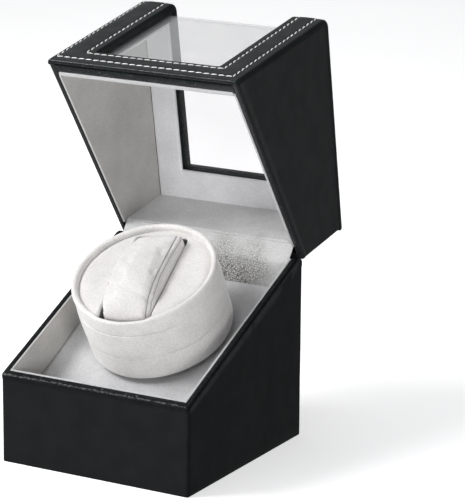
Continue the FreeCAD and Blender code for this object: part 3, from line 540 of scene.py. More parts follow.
# Copies of one grey velvet: the left walls' copy is darker and warmer, painted shade on walls that face away from
# the key lamp; the lid pad's copy is much lighter and the deck's a little lighter, painted light.
LINING = velvet("lining_grey", (0.50, 0.50, 0.51), (0.68, 0.68, 0.69))
LINING_PAD_LIT = velvet("lining_pad_lit", (0.76, 0.755, 0.775), (0.90, 0.895, 0.915))
LINING_SHADED = velvet("lining_side_shaded", (0.38, 0.372, 0.355), (0.51, 0.498, 0.478))
LINING_DECK_LIT = velvet("lining_deck_lit", (0.54, 0.54, 0.55), (0.72, 0.72, 0.73))
LINING_CRUSHED = velvet("lining_crushed", (0.56, 0.56, 0.56), (0.74, 0.74, 0.735), (0.15, 0.145, 0.13))
LINING_LIP = velvet("lining_lip", (0.52, 0.52, 0.53), (0.64, 0.64, 0.645))
SUEDE = suede("suede_white", (0.64, 0.625, 0.61), (0.80, 0.785, 0.77))
SUEDE_FACE = suede("suede_face", (0.64, 0.625, 0.61), (0.78, 0.765, 0.75))
# Near-black copy of the white suede for the slot's walls and pocket: painted shade for the deep gap.
SUEDE_POCKET_SHADE = suede("suede_pocket_shade", (0.075, 0.074, 0.072), (0.120, 0.118, 0.115))
SUEDE_PILLOW = suede("suede_pillow", (0.66, 0.645, 0.635), (0.80, 0.78, 0.775))
SEAM = thread("seam_grey", (0.22, 0.215, 0.21), (0.36, 0.35, 0.34))
STITCH = thread("stitch_white", (0.86, 0.86, 0.85), (0.96, 0.96, 0.95))
ACRYLIC = acrylic("acrylic_clear")
FINISHES = {
    "leatherette_black": LEATHER, "lining_grey": LINING, "suede_white": SUEDE, "acrylic_clear": ACRYLIC,
}
for make, name, *look in (
    (fibreboard, "fibreboard", (0.045, 0.040, 0.036), (0.085, 0.075, 0.066)),
    (fibreboard, "board_black", (0.018, 0.018, 0.018), (0.035, 0.035, 0.034)),
    (leatherette, "underside_sheet", (0.015, 0.015, 0.016), (0.03, 0.03, 0.031), 0.6, 0.75),
    (fibreboard, "drum_card", (0.42, 0.35, 0.26), (0.56, 0.48, 0.37)),
    (metal, "hinge_steel", (0.05, 0.05, 0.052), (0.10, 0.10, 0.10), 0.4),
    (metal, "bright_steel", (0.48, 0.48, 0.50), (0.66, 0.66, 0.67)),
    (metal, "bush_brass", (0.58, 0.42, 0.17), (0.76, 0.58, 0.28)),
    (moulded, "gearbox_plastic", (0.022, 0.022, 0.025), (0.04, 0.04, 0.044)),
    (moulded, "gear_plastic", (0.72, 0.71, 0.66), (0.84, 0.83, 0.79)),
    (moulded, "switch_plastic", (0.035, 0.035, 0.037), (0.055, 0.055, 0.058), 0.3),
    (moulded, "circuit_board", (0.015, 0.11, 0.045), (0.03, 0.19, 0.08), 0.3),
    (moulded, "component_black", (0.03, 0.03, 0.032), (0.07, 0.07, 0.075), 0.5),
    (moulded, "wire_insulation", (0.32, 0.025, 0.02), (0.48, 0.05, 0.035), 0.4),
):
    FINISHES[name] = make(name, *look)


# ---- outlines round the box ------------------------------------------------------------------------
def graded(start, end, count, ease=1.0):
    t = np.linspace(0, 1, count)
    return start + (end - start) * (1 - (1 - t) ** ease)


def ring_plan(inset):
    """The box seen from above, inset from its walls: anticlockwise from the middle of the front, always with
    the same number of points."""
    r = max(CORNER_R - inset, 0.4)
    x, front, back = HALF_W - inset, FRONT + inset, BACK - inset
    depths = graded(front + r, back - r, 66, 1.6)[1:-1]
    out = [(px, front) for px in np.linspace(0, x - r, 56)[:-1]]
    corners_and_walls = (
        (x - r, front + r, [(x, py) for py in depths]),
        (x - r, back - r, [(px, back) for px in np.linspace(x - r, -x + r, 50)[1:-1]]),
        (-x + r, back - r, [(-x, py) for py in depths[::-1]]),
        (-x + r, front + r, [(px, front) for px in np.linspace(-x + r, 0, 56)[1:-1]]),
    )
    for k, (cx, cy, wall) in enumerate(corners_and_walls):
        for a in np.radians(np.linspace(90 * k - 90, 90 * k, 9)):
            out.append((cx + r * math.cos(a), cy + r * math.sin(a)))
        out += wall
    return np.array(out)


# Section of a rolled edge from outside to inside: how far inset, how far below its top.
RIM_PROFILE = [(SKIN, 3.7), (0.04, 3.4), (0.0, 3.0), (0.0, 1.5)]
RIM_PROFILE += [(1.5 - 1.5 * math.cos(a), 1.5 - 1.5 * math.sin(a)) for a in np.radians([20, 42, 62, 78])]
RIM_PROFILE += [(1.6, 0.0), (3.2, 0.02), (3.7, 0.16), (3.95, 0.5), (4.0, 1.2), (4.0, 5.0)]


def crumple(points, drop, inset):
    """How far the leather of a rim is pressed in: small creases along its outer fold, more at corners."""
    corner = np.exp(-(((np.abs(points[:, 0]) - HALF_W) / 6.0) ** 2))
    corner *= np.exp(-(((points[:, 1] - FRONT) / 7.0) ** 2))
    on_fold = math.exp(-(((drop - 1.6) / 1.5) ** 2)) * (inset < 2.3)
    creases = 0.16 * np.clip(rough(points, 2.6, 3.1), -1, 1) * on_fold * (0.6 + 2.2 * corner)
    return creases + 0.08 * rough(points, 11.0, 7.7) * on_fold


def stand(plan, heights):
    """Points over a plan, at these heights or at one height."""
    return np.column_stack([plan, np.broadcast_to(heights, len(plan))])


def swollen(walls, size, seed, amount):
    """Rows of wall points that swell in and out, least in the first and last row."""
    walls = np.array(walls)
    swell = rough(walls.reshape(-1, 3), size, seed).reshape(walls.shape[:2])
    fade = np.sin(np.linspace(0, math.pi, len(walls)))[:, None]
    walls[..., :2] += unit(walls[..., :2]) * (amount * swell * fade)[..., None]
    return list(walls)


def build_base_cover():
    foot = 0.8
    underside = ((SKIN_IN, 0.0), (0.62, 0.0), (0.36, 0.2), (SKIN, foot))
    rows = [stand(ring_plan(inset), z) for inset, z in underside]
    plan = ring_plan(SKIN)
    rims = np.array([base_rim(y) for _, y in plan])
    walls = [stand(plan, foot + f * (rims - RIM_H - foot)) for f in np.linspace(0, 1, 18)[1:-1]]
    rows += swollen(walls, 30.0, 1.3, 0.16)
    for inset, drop in RIM_PROFILE:
        plan = ring_plan(inset)
        row = stand(plan, [base_rim(y) - drop for _, y in plan])
        push = crumple(row, drop, inset)
        row[:, :2] -= unit(plan) * np.clip(push, -0.12, 0.3)[:, None]
        row[:, 2] -= np.clip(push, 0.0, 0.3) * 0.7
        rows.append(row)
    plan = ring_plan(SKIN_IN)
    rows.append(stand(plan, [base_rim(y) - RIM_PROFILE[-1][1] for _, y in plan]))
    # The base takes the darkest copy of the leatherette: painted shade.
    obj = loft("base_leather", np.array(rows), LEATHER, wrap_rows=True)
    y, z = BACK - 2.0, 20.0
    cuts = [
        ("rod", (-35.0, y, z), (12.0, 4.5, "Y")),            # power inlet
        ("rod", (0.0, y, z), (12.0, 3.6, "Y")),              # mode knob
        ("box", (35.0, y, z), (13.3, 12.0, 19.3)),           # power rocker
    ]
    carve(obj, cuts + [("rod", (x, HINGE[1], HINGE[2]), HINGE_ROD) for x in HINGE_XS])
    piece(obj, "base", "leatherette_black", "base_cover")


def lid_plan(inset):
    """The lid's left, back and right walls seen from above, as an open path from the front left."""
    r = max(CORNER_R - inset, 0.4)
    x, back = HALF_W - inset, BACK - inset
    depths = graded(FRONT + 2.2, back - r, 74, 1.2)
    out = [(-x, py) for py in depths]
    for a in np.radians(np.linspace(180, 90, 9))[1:]:
        out.append((-x + r + r * math.cos(a), back - r + r * math.sin(a)))
    out += [(px, back) for px in np.linspace(-x + r, x - r, 54)[1:-1]]
    for a in np.radians(np.linspace(90, 0, 9)):
        out.append((x - r + r * math.cos(a), back - r + r * math.sin(a)))
    out += [(x, py) for py in depths[::-1][1:]]
    return np.array(out)


def build_lid_shell():
    rows = []
    for inset, drop in RIM_PROFILE[::-1]:
        plan = lid_plan(inset)
        row = stand(plan, rim_z(plan[:, 1]) + LID_GAP + drop)
        row[:, 2] += np.clip(crumple(row, drop, inset), 0.0, 0.3) * 0.7
        rows.append(row)
    plan = lid_plan(SKIN)
    low = rim_z(plan[:, 1]) + LID_GAP + RIM_H
    walls = []
    for f in np.linspace(0, 1, 22)[1:]:
        walls.append(stand(plan, np.minimum((1 - f) * low + f * (TOP - LID_DROP), corner_top(plan[:, 1]))))
    rows += swollen(walls, 34.0, 5.3, 0.15)
    inner = lid_plan(SKIN_IN)
    rows.append(stand(inner, corner_top(inner[:, 1])))
    rows.append(stand(inner, rim_z(inner[:, 1]) + LID_GAP + RIM_PROFILE[-1][1]))
    # The lid takes the lighter copy of the leatherette: painted light.
    obj = loft("lid_leather", np.array(rows), LID_LEATHER_LIT, wrap_rows=True, wrap_columns=False)
    with edit_mesh(obj.data) as bm:
        bmesh.ops.holes_fill(bm, edges=[edge for edge in bm.edges if edge.is_boundary], sides=0)
        tidy_caps(bm)
    carve(obj, [("rod", (x, HINGE[1], HINGE[2]), HINGE_ROD) for x in HINGE_XS])
    obj.data.transform(lid_matrix())
    piece(obj, "lid", "leatherette_black", "lid_cover")


def corner_top(y):
    """Height of the lid's walls under the padded sheet over depth y, with the rounded front corner."""
    top = np.full(len(y), TOP - LID_DROP)
    centre = FRONT + BEND_R
    near = y < centre
    reach = np.sqrt(np.maximum((BEND_R - 0.6) ** 2 - (centre - y[near]) ** 2, 0.0))
    top[near] = np.minimum(top[near], TOP - BEND_R + reach)
    return top


def lid_matrix():
    centre = Matrix.Translation(Vector((0, HINGE[1], HINGE[2])) * MM)
    return centre @ Matrix.Rotation(-OPEN_ANGLE, 4, "X") @ centre.inverted()


# ---- window frame ----------------------------------------------------------------------------------
STRAIGHT = TOP - BEND_R - (FRONT_H + LID_GAP)
ARC = BEND_R * math.pi / 2
LENGTH = STRAIGHT + ARC + (BACK - (FRONT + BEND_R))
SILL_S = SILL_Z - FRONT_H - LID_GAP
BACK_S = STRAIGHT + ARC + WINDOW_BACK - (FRONT + BEND_R)


def bend_map(x, s, depth):
    """Point at s along the front and top of the closed lid, depth below its surface."""
    r = max(BEND_R - depth, 0.6)
    cy, cz = FRONT + depth + r, TOP - depth - r
    if s <= STRAIGHT:
        z = FRONT_H + LID_GAP + s
        w = clamp((z - 130.0) / 34.0) ** 2
        z -= (TOP - BEND_R - cz) * w
        z += depth * TAN_RIM * max(0.0, 1 - s / 12.0)
        return (x, FRONT + depth, z)
    if s <= STRAIGHT + ARC:
        a = (s - STRAIGHT) / ARC * math.pi / 2
        return (x, cy - r * math.cos(a), cz + r * math.sin(a))
    y = FRONT + BEND_R + s - STRAIGHT - ARC
    w = clamp((-30.0 - y) / 34.0) ** 2
    return (x, y + (cy - FRONT - BEND_R) * w, TOP - depth)


def fold(distance, reach, depth):
    """Depth of a rounded edge, distance in from it."""
    t = np.clip(1 - distance / reach, 0, 1)
    return depth * (1 - np.sqrt(1 - t * t))


def hole_distance(x, s, half_x, low, high):
    dx = max(abs(x) - half_x, 0.0)
    ds = max(low - s, s - high, 0.0)
    return math.hypot(dx, ds)


# Corners of the two rows of stitches, as (x, s).
STITCH_X, STITCH_LOW, STITCH_HIGH, STITCH_TOP = 47.5, SILL_S - 3.6, BACK_S + 4.6, LENGTH - 4.5
OUTER_STITCH = [(-62.3, 6.6), (-62.6, STITCH_TOP), (59.2, STITCH_TOP), (59.0, 6.3)]
INNER_STITCH = [
    (-STITCH_X, STITCH_LOW), (-STITCH_X, STITCH_HIGH), (STITCH_X, STITCH_HIGH), (STITCH_X, STITCH_LOW)
]


def path_distance(x, s, corners):
    best = 1e9
    for (ax, a_s), (bx, b_s) in zip(corners, corners[1:] + corners[:1]):
        ux, us = bx - ax, b_s - a_s
        t = clamp(((x - ax) * ux + (s - a_s) * us) / (ux * ux + us * us))
        best = min(best, math.hypot(x - ax - t * ux, s - a_s - t * us))
    return best


def raised(s):
    """How far the padded sheet stands proud of the lid: little at the front edge, most at the bend."""
    return 0.7 + 0.8 * clamp(s / STRAIGHT)


def frame_depth(x, s):
    """Depth of the padded leather frame: rolled edges, raised between the rows of stitches."""
    side = fold(HALF_W - abs(x), 1.7, 2.4)
    lower = fold(s, 2.3, 1.8)
    back = fold(LENGTH - s, 1.7, 2.4)
    depth = min(2.4, math.sqrt(side**2 + lower**2 + back**2)) - raised(s)
    hole = hole_distance(x, s, WINDOW_X, SILL_S, BACK_S)
    depth = max(depth, float(fold(hole, 1.5, 1.6)) - raised(s))
    inside = min(HALF_W - abs(x), s, LENGTH - s, hole)
    depth -= 0.30 * clamp((inside - 3.0) / 5.0)
    near = min(path_distance(x, s, OUTER_STITCH), path_distance(x, s, INNER_STITCH))
    depth += 0.30 * math.exp(-((near / 0.75) ** 2))
    return depth + 0.08 * lump(x / 9.0, s / 9.0, 4.2)


def panel(name, material, xs, ss, hole, depth_at, outer_skirt, front_skirt, hole_skirt):
    """Sheet that runs up the front of the lid and over its top, with the window left out. Each skirt is a
    list of (distance beyond the edge, depth) by which the sheet goes on down round an edge."""
    half_x, low, high = hole
    points = []
    index = {}
    for i, x in enumerate(xs):
        for j, s in enumerate(ss):
            if abs(x) < half_x - 1e-6 and low + 1e-6 < s < high - 1e-6:
                continue
            index[i, j] = len(points)
            points.append(bend_map(x, s, float(depth_at(x, s))))
    faces = []
    for i in range(len(xs) - 1):
        for j in range(len(ss) - 1):
            mx, ms = (xs[i] + xs[i + 1]) / 2, (ss[j] + ss[j + 1]) / 2
            if abs(mx) < half_x and low < ms < high:
                continue
            faces.append((index[i, j], index[i + 1, j], index[i + 1, j + 1], index[i, j + 1]))
    last_i, last_j = len(xs) - 1, len(ss) - 1

    def skirt(loop, rows, closed):
        before = [index[k] for k in loop]
        for row in rows:
            now = []
            for i, j in loop:
                now.append(len(points))
                points.append(row(xs[i], ss[j]))
            count = len(loop)
            for k in range(count if closed else count - 1):
                m = (k + 1) % count
                faces.append((before[k], before[m], now[m], now[k]))
            before = now

    def outer_row(beyond, depth):
        def row(x, s):
            nx = -math.copysign(1, x) if abs(abs(x) - abs(xs[0])) < 1e-6 else 0
            ns = -1 if abs(s - ss[-1]) < 1e-6 else 0
            return bend_map(x + nx * beyond, s + ns * beyond, depth)

        return row

    def front_row(beyond, depth, narrow):
        def row(x, _):
            px, py, pz = bend_map(x * narrow, ss[0], depth)
            return (px, py, pz + beyond)

        return row

    def hole_row(beyond, depth):
        def row(x, s):
            nx = math.copysign(1, x) if abs(abs(x) - half_x) < 1e-6 else 0
            ns = -1 if abs(s - low) < 1e-6 else (1 if abs(s - high) < 1e-6 else 0)
            return bend_map(x + nx * beyond, s + ns * beyond, depth)

        return row

    around = [(0, j) for j in range(last_j + 1)]
    around += [(i, last_j) for i in range(1, last_i + 1)]
    around += [(last_i, j) for j in range(last_j - 1, -1, -1)]
    skirt(around, [outer_row(b, d) for b, d in outer_skirt], False)
    skirt([(i, 0) for i in range(last_i + 1)], [front_row(*r) for r in front_skirt], False)
    a = int(np.argmin(np.abs(xs + half_x)))
    b = int(np.argmin(np.abs(xs - half_x)))
    c = int(np.argmin(np.abs(ss - low)))
    d = int(np.argmin(np.abs(ss - high)))
    inner = [(i, c) for i in range(a, b + 1)] + [(b, j) for j in range(c + 1, d + 1)]
    inner += [(i, d) for i in range(b - 1, a - 1, -1)] + [(a, j) for j in range(d - 1, c, -1)]
    skirt(inner, [hole_row(bb, dd) for bb, dd in hole_skirt], True)
    return add_mesh(name, points, faces, [material], place=swing)


def build_window_frame():
    near = [0, 0.12, 0.4, 0.8, 1.15, 1.5]
    edge = [0, 0.15, 0.5, 1.0, 1.6, 2.2, 2.7]
    seam = [-1.2, -0.8, -0.4, 0, 0.4, 0.8, 1.2]
    xs = steps(
        -HALF_W, HALF_W, 1.9,
        (-HALF_W, edge), (HALF_W, [-e for e in edge]),
        (-WINDOW_X, [-n for n in near]), (WINDOW_X, near),
        (-62.4, seam), (59.1, seam), (-STITCH_X, seam), (STITCH_X, seam),
    )
    xs = snap(xs, (-WINDOW_X, WINDOW_X))
    ss = steps(
        0, LENGTH, 1.9,
        (0, [0, 0.12, 0.5, 1.1, 1.9, 2.7, 3.6]), (LENGTH, [-e for e in edge]),
        (SILL_S, [-n for n in near]), (BACK_S, near),
        (6.5, seam), (STITCH_LOW, seam), (STITCH_HIGH, seam), (STITCH_TOP, seam),
        (STRAIGHT, list(np.linspace(0, ARC, 9))),
    )
    ss = snap(ss, (SILL_S, BACK_S))
    # The frame takes the lighter, blue-green copy of the leatherette: painted light and reflection.
    frame_obj = panel(
        "lid_frame_leather", FRAME_LEATHER_LIT, xs, ss, (WINDOW_X, SILL_S, BACK_S), frame_depth,
        [(0.0, 2.7), (0.35, 3.0), (0.9, 3.1)],
        [
            (0.0, 1.6, 1.0), (0.25, 2.0, 0.99), (0.7, 2.15, 0.944), (0.72, 3.05, 0.943), (0.1, 3.3, 0.943),
            (0.0, 3.9, 0.943), (0.0, 7.6, 0.943), (0.25, 8.0, 0.943), (1.2, 8.2, 0.943),
        ],
        [(0.0, 2.4), (0.0, 3.9), (0.35, 4.35), (0.35, 5.85), (0.0, 6.2), (0.0, 8.3), (0.3, 8.7), (1.2, 8.8)],
    )
    piece(frame_obj, "lid", "leatherette_black")

    pad_x, pad_hole = LINING_X - 0.05, WINDOW_X + 0.15
    end, low, high = LENGTH - 11.3, SILL_S - 0.1, BACK_S + 0.1

    def pad_depth(x, s):
        side = fold(pad_x - abs(x), 1.4, 1.0)
        lower = fold(s, 1.8, 1.3)
        back = fold(end - s, 0.5, 0.25)
        hole = fold(hole_distance(x, s, pad_hole, low, high), 1.6, 1.3)
        pressed = min(1.5, math.sqrt(side**2 + lower**2 + back**2 + float(hole) ** 2))
        return PAD_DEPTH - pressed + 0.12 * lump(x / 12.0, s / 12.0, 9.1)

    xs = steps(
        -pad_x, pad_x, 2.2, (-pad_x, [0, 0.2, 0.6, 1.0, 1.5]), (pad_x, [0, -0.2, -0.6, -1.0, -1.5]),
        (-pad_hole, [-n for n in near]), (pad_hole, near),
    )
    xs = snap(xs, (-pad_hole, pad_hole))
    ss = steps(
        0, end, 2.2, (0, [0, 0.15, 0.5, 1.0, 1.6]), (end, [0, -0.2, -0.5]),
        (low, [-n for n in near]), (high, near), (STRAIGHT, list(np.linspace(0, ARC, 5))),
    )
    ss = snap(ss, (low, high))
    # The pad takes the lighter copy of the velvet: painted light.
    pad = panel(
        "lid_pad_lining", LINING_PAD_LIT, xs, ss, (pad_hole, low, high), pad_depth,
        [(0.0, 9.6), (0.1, 8.9)],
        [(-0.1, 9.1, 1.0), (-0.1, 8.7, 1.0), (0.1, 8.25, 1.0), (0.8, 8.1, 1.0)],
        [(0.0, 9.5), (0.25, 8.95), (0.9, 8.9)],
    )
    pad.data.materials.append(LINING_LIP)
    back_to_closed = lid_matrix().inverted()
    for polygon in pad.data.polygons:
        c = back_to_closed @ polygon.center / MM
        if c.z - (rim_z(c.y) + LID_GAP) < 1.1:
            polygon.material_index = 1
    piece(pad, "lid", "lining_grey", "lid_front_lining", "lid_top_lining")
    build_frame_stitches()


def snap(values, targets):
    values = np.array(values)
    for target in targets:
        values[int(np.argmin(np.abs(values - target)))] = target
    return values


# ---- stitches --------------------------------------------------------------------------------------
def stitch_mesh(name, runs, place):
    """Saddle stitches along paths. Each run is a list of (point, outward normal) spaced closely."""
    pitch, length, width, height, lean = 5.0, 4.75, 0.8, 0.62, 10.0
    points, faces = [], []
    rings, around = 7, 8
    for run in runs:
        spots, normals = (np.array(column) for column in zip(*run))
        gaps = np.linalg.norm(np.diff(spots, axis=0), axis=1)
        along = np.concatenate([[0], np.cumsum(gaps)])

        def between(values, place_along):
            return np.array([np.interp(place_along, along, values[:, c]) for c in range(3)])

        count = max(1, int(along[-1] // pitch))
        for k in range(count):
            middle = (k + 0.5) * along[-1] / count
            at = between(spots, middle)
            up = between(normals, middle)
            up /= np.linalg.norm(up)
            forward = between(spots, middle + 1) - between(spots, middle - 1)
            forward /= np.linalg.norm(forward)
            side = np.cross(up, forward)
            angle = math.radians(lean + 2.5 * lump(k * 0.7, along[-1], 0.3))
            c, s = math.cos(angle), math.sin(angle)
            forward, side = forward * c + side * s, side * c - forward * s
            faces += shifted(tube(rings, around), len(points))
            for i in range(rings):
                t = -1 + 2 * i / (rings - 1)
                r = max(1 - abs(t) ** 3.2, 0.0) ** 0.5 if 0 < i < rings - 1 else 0.22
                centre = at + forward * (t * length / 2) + up * (0.10 - 0.42 * abs(t) ** 2.5)
                for j in range(around):
                    a = 2 * math.pi * j / around
                    across = side * (math.cos(a) * width / 2 * r) + up * (math.sin(a) * height / 2 * r)
                    points.append(centre + across)
    return add_mesh(name, points, faces, [STITCH], place=place)


def sheet_run(corners):
    """Path on the window frame between corners in (x, s), with the surface's normal."""
    run = []
    for (ax, a_s), (bx, b_s) in zip(corners, corners[1:]):
        length = math.hypot(bx - ax, b_s - a_s)
        count = max(2, int(length / 0.8))
        for k in range(count + 1):
            t = k / count
            x, s = ax + (bx - ax) * t, a_s + (b_s - a_s) * t
            depth = frame_depth(x, s)
            p = np.array(bend_map(x, s, depth - 0.12))
            above = np.array(bend_map(x, s, depth - 1.1))
            normal = above - p
            run.append((p, normal / np.linalg.norm(normal)))
    return run


def build_frame_stitches():
    runs = []
    for corners in (OUTER_STITCH, INNER_STITCH):
        loop = corners + corners[:1]
        for a, b in zip(loop, loop[1:]):
            runs.append(sheet_run([a, b]))
    obj = stitch_mesh("lid_frame_stitches", runs, swing)
    piece(obj, "lid", "leatherette_black")


# ---- pane ------------------------------------------------------------------------------------------
def build_pane():
    """One sheet of acrylic bent over the front edge of the lid."""
    half = 51.8
    low, back = SILL_Z - 9.5, WINDOW_BACK + 9.5
    outer, inner = [], []
    for side, depth, r in ((outer, PANE_OUT, BEND_R), (inner, PANE_IN, BEND_R - 1.0)):
        y, z = FRONT + depth, TOP - depth
        cy, cz = FRONT + PANE_OUT + BEND_R, TOP - PANE_OUT - BEND_R
        side += [(y, v) for v in np.linspace(low, cz, 14)[:-1]]
        for a in np.radians(np.linspace(0, 90, 17)):
            side.append((cy - r * math.cos(a), cz + r * math.sin(a)))
        side += [(v, z) for v in np.linspace(cy, back, 14)[1:]]
    ring = outer + inner[::-1]
    xs = np.linspace(-half, half, 12)
    rows = [[(x, y, z) for y, z in ring] for x in xs]
    points = np.array(rows).reshape(-1, 3)
    count = len(ring)
    faces = quads(len(xs), count, False, True)
    half_count = count // 2
    for base in (0, (len(xs) - 1) * count):
        for k in range(half_count - 1):
            faces.append((base + k, base + k + 1, base + count - 2 - k, base + count - 1 - k))
    obj = add_mesh("lid_window_pane", points, faces, [ACRYLIC], place=swing)
    piece(obj, "lid", "acrylic_clear", "lid_window")


# ---- linings ---------------------------------------------------------------------------------------
def slab(name, front_points, normal, thickness, material, body, node, place=keep, swell=0.12):
    """Soft lined card: front_points is a grid of points on its seen face, normal points out of that face."""
    grid = np.asarray(front_points, float)
    rows, columns = grid.shape[:2]
    normal = np.asarray(normal, float)
    lumps = rough(grid.reshape(-1, 3), 16.0, 2.2).reshape(rows, columns)
    lumps[0], lumps[-1], lumps[:, 0], lumps[:, -1] = 0, 0, 0, 0
    face = grid + normal * (lumps * swell)[..., None]
    points = np.concatenate([face.reshape(-1, 3), (grid - normal * thickness).reshape(-1, 3)])
    obj = add_mesh(name, points, two_sided(rows, columns), [material], place=place)
    return piece(obj, body, "lining_grey", node)


def piping(name, path, radius, material, body, slot, place=keep):
    """Soft round cord along a path of points."""
    around = 10
    path = np.asarray(path, float)
    tangent = unit(np.gradient(path, axis=0))
    rows = []
    up = np.array([0.0, 0.0, 1.0])
    for p, t in zip(path, tangent):
        side = np.cross(t, np.array([1.0, 0, 0]) if abs(t @ up) > 0.95 else up)
        side /= np.linalg.norm(side)
        over = np.cross(side, t)
        r = radius * (1 + 0.10 * noise.noise(Vector(p / 6.0)))
        ring = np.linspace(0, 2 * math.pi, around, endpoint=False)
        rows.append([p + r * (math.cos(a) * side + math.sin(a) * over) for a in ring])
    obj = add_mesh(name, np.array(rows).reshape(-1, 3), tube(len(rows), around), [material], place=place)
    return piece(obj, body, slot)


def build_base_linings():
    front = FRONT + WALL
    buried = 0.6                       # how far the linings reach below the deck
    ys = np.linspace(front, 60.6, 60)
    # The left wall takes the darker, warmer copy of the velvet: painted shade.
    for name, sign, material in (("left", -1, LINING_SHADED), ("right", 1, LINING)):
        grid = []
        for y in ys:
            low, high = deck_z(y) - buried, base_rim(y) - 0.25
            high = max(high, low + 0.5)
            grid.append([(sign * LINING_X, y, low + (high - low) * t) for t in np.linspace(0, 1, 16)])
        slab(
            "base_lining_" + name, grid, (-sign, 0, 0), CARD + 0.02, material, "base",
            "base_" + name + "_lining",
        )
        path = [(sign * (LINING_X + 0.5), y, base_rim(y) - 0.42) for y in np.linspace(front + 1.0, 59.6, 90)]
        piping("base_lip_" + name, path, 0.42, LINING_LIP, "base", "lining_grey")
    y = FRONT + WALL + CARD
    low, high = deck_z(y) - buried, rim_z(y) - 0.3
    heights = [low + (high - low) * t for t in np.linspace(0, 1, 8)]
    grid = [[(x, y, z) for z in heights] for x in np.linspace(-LINING_X, LINING_X, 50)]
    slab("base_lining_front", grid, (0, 1, 0), CARD + 0.02, LINING, "base", "base_front_lining")

    y, top = 59.5, 109.0
    low = deck_z(y) - buried
    profile = [(y + 0.5 * math.sin(math.pi * t) * 0.6, low + (top - low) * t) for t in np.linspace(0, 1, 22)]
    grid = [[(x, py, z) for py, z in profile] for x in np.linspace(-LINING_X, LINING_X, 70)]
    slab("base_lining_back", grid, (0, -1, 0), CARD, LINING_CRUSHED, "base", "base_back_lining", swell=0.3)


def build_deck():
    """Lined deck, dished a little where it meets the walls; the middle stays open for the shaft."""
    hole = 6.0
    middle = AXIS_AT[1]
    xs = steps(-LINING_X - 0.3, LINING_X + 0.3, 2.6, (-hole, [0]), (hole, [0]))
    ys = steps(FRONT + WALL + CARD - 0.3, 59.9, 2.6, (middle - hole, [0]), (middle + hole, [0]))
    points, faces = [], []
    for x in xs:
        for y in ys:
            edge = min(x - xs[0], xs[-1] - x, y - ys[0], ys[-1] - y)
            dip = 0.7 * math.exp(-((edge / 1.6) ** 2)) - 0.22 * lump(x / 15.0, y / 15.0, 1.7)
            points.append((x, y, deck_z(y) - dip - 0.1))
    for face in quads(len(xs), len(ys)):
        mx, my, _ = np.mean([points[v] for v in face], axis=0)
        if abs(mx) >= hole or abs(my - middle) >= hole:
            faces.append((face[0], face[3], face[2], face[1]))
    # The deck takes the slightly lighter copy of the velvet: painted light.
    obj = add_mesh("deck_velvet", points, faces, [LINING_DECK_LIT])
    if sum(p.normal.z for p in obj.data.polygons) < 0:
        obj.data.flip_normals()
    modify(obj, "SOLIDIFY", thickness=0.9 * MM, offset=-1)
    piece(obj, "base", "lining_grey", "deck_lining")


def build_lid_linings():
    front, top = FRONT + PAD_DEPTH - 0.4, TOP - PAD_DEPTH + 0.4
    ys = np.linspace(front, LID_BACK_Y + 0.9, 60)
    # The left wall takes the darker, warmer copy of the velvet: painted shade.
    for name, sign, material in (("left", -1, LINING_SHADED), ("right", 1, LINING)):
        grid = []
        for y in ys:
            low = rim_z(y) + LID_GAP + 0.1
            grid.append([(sign * LINING_X, y, low + (top - low) * t) for t in np.linspace(0, 1, 26)])
        slab(
            "lid_lining_" + name, grid, (-sign, 0, 0), CARD + 0.02, material, "lid",
            "lid_" + name + "_lining", place=swing,
        )
        path = [
            (sign * (LINING_X + 0.5), y, rim_z(y) + LID_GAP + 0.5)
            for y in np.linspace(FRONT + FRAME_DEPTH + 0.4, LID_BACK_Y + 1.0, 90)
        ]
        piping("lid_lip_" + name, path, 0.5, LINING_LIP, "lid", "lining_grey", place=swing)
    heights = np.linspace(116.0, TOP - PAD_DEPTH - 1.3, 18)
    grid = [[(x, LID_BACK_Y, z) for z in heights] for x in np.linspace(-LINING_X, LINING_X, 60)]
    slab(
        "lid_lining_back", grid, (0, -1, 0), CARD, LINING, "lid", "lid_back_lining", place=swing, swell=0.25
    )


def build_hinge_lining():
    """The back lining runs in one soft sheet from the deck, over the hinge and along the lid's back wall."""
    lid_heights = (117.0, 120.0, 126.0, 133.0, 141.0, 149.0, 157.5)
    lid_face = swing([(0, LID_BACK_Y - 0.4, z) for z in lid_heights])[:, 1:]
    low = deck_z(59.2) - 0.8
    below = [(59.15, low), (59.1, low + 6.0), (59.05, 100.0), (59.0, 106.0), (58.9, 109.0), (58.8, 111.0)]
    over = [(59.9, 113.2), (61.6, 115.4), (63.6, 117.9)]
    profile = smooth_path(np.concatenate([below, over, lid_face]), 84)
    half = LINING_X - 0.06
    grid = []
    for x in np.linspace(-half, half, 96):
        row = []
        for k, (y, z) in enumerate(profile):
            t = k / (len(profile) - 1)
            fade = min(t / 0.06, (1 - t) / 0.05, 1.0)
            soft = fade * 0.30 * lump(x / 19.0, y / 13.0, z / 13.0)
            row.append((x, y - soft, z + soft * 0.4))
        grid.append(row)
    grid = np.array(grid)
    tangent = unit(np.gradient(profile, axis=0))
    behind = grid.copy()
    behind[..., 1] += 0.35 * tangent[:, 1]
    behind[..., 2] -= 0.35 * tangent[:, 0]
    points = np.concatenate([grid.reshape(-1, 3), behind.reshape(-1, 3)])
    obj = add_mesh("hinge_velvet", points, two_sided(*grid.shape[:2]), [LINING_CRUSHED])
    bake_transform(obj)
    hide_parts("hinge_lining")


def curve(points, per):
    """Catmull-Rom curve with per points to each stretch."""
    p = np.asarray(points, float)
    p = np.concatenate([[2 * p[0] - p[1]], p, [2 * p[-1] - p[-2]]])
    out = []
    for a, b, c, d in zip(p, p[1:], p[2:], p[3:]):
        for t in np.linspace(0, 1, per, endpoint=False):
            square, cube = (2 * a - 5 * b + 4 * c - d) * t**2, (3 * b - a - 3 * c + d) * t**3
            out.append(0.5 * (2 * b + (c - a) * t + square + cube))
    out.append(p[-2])
    return np.array(out)


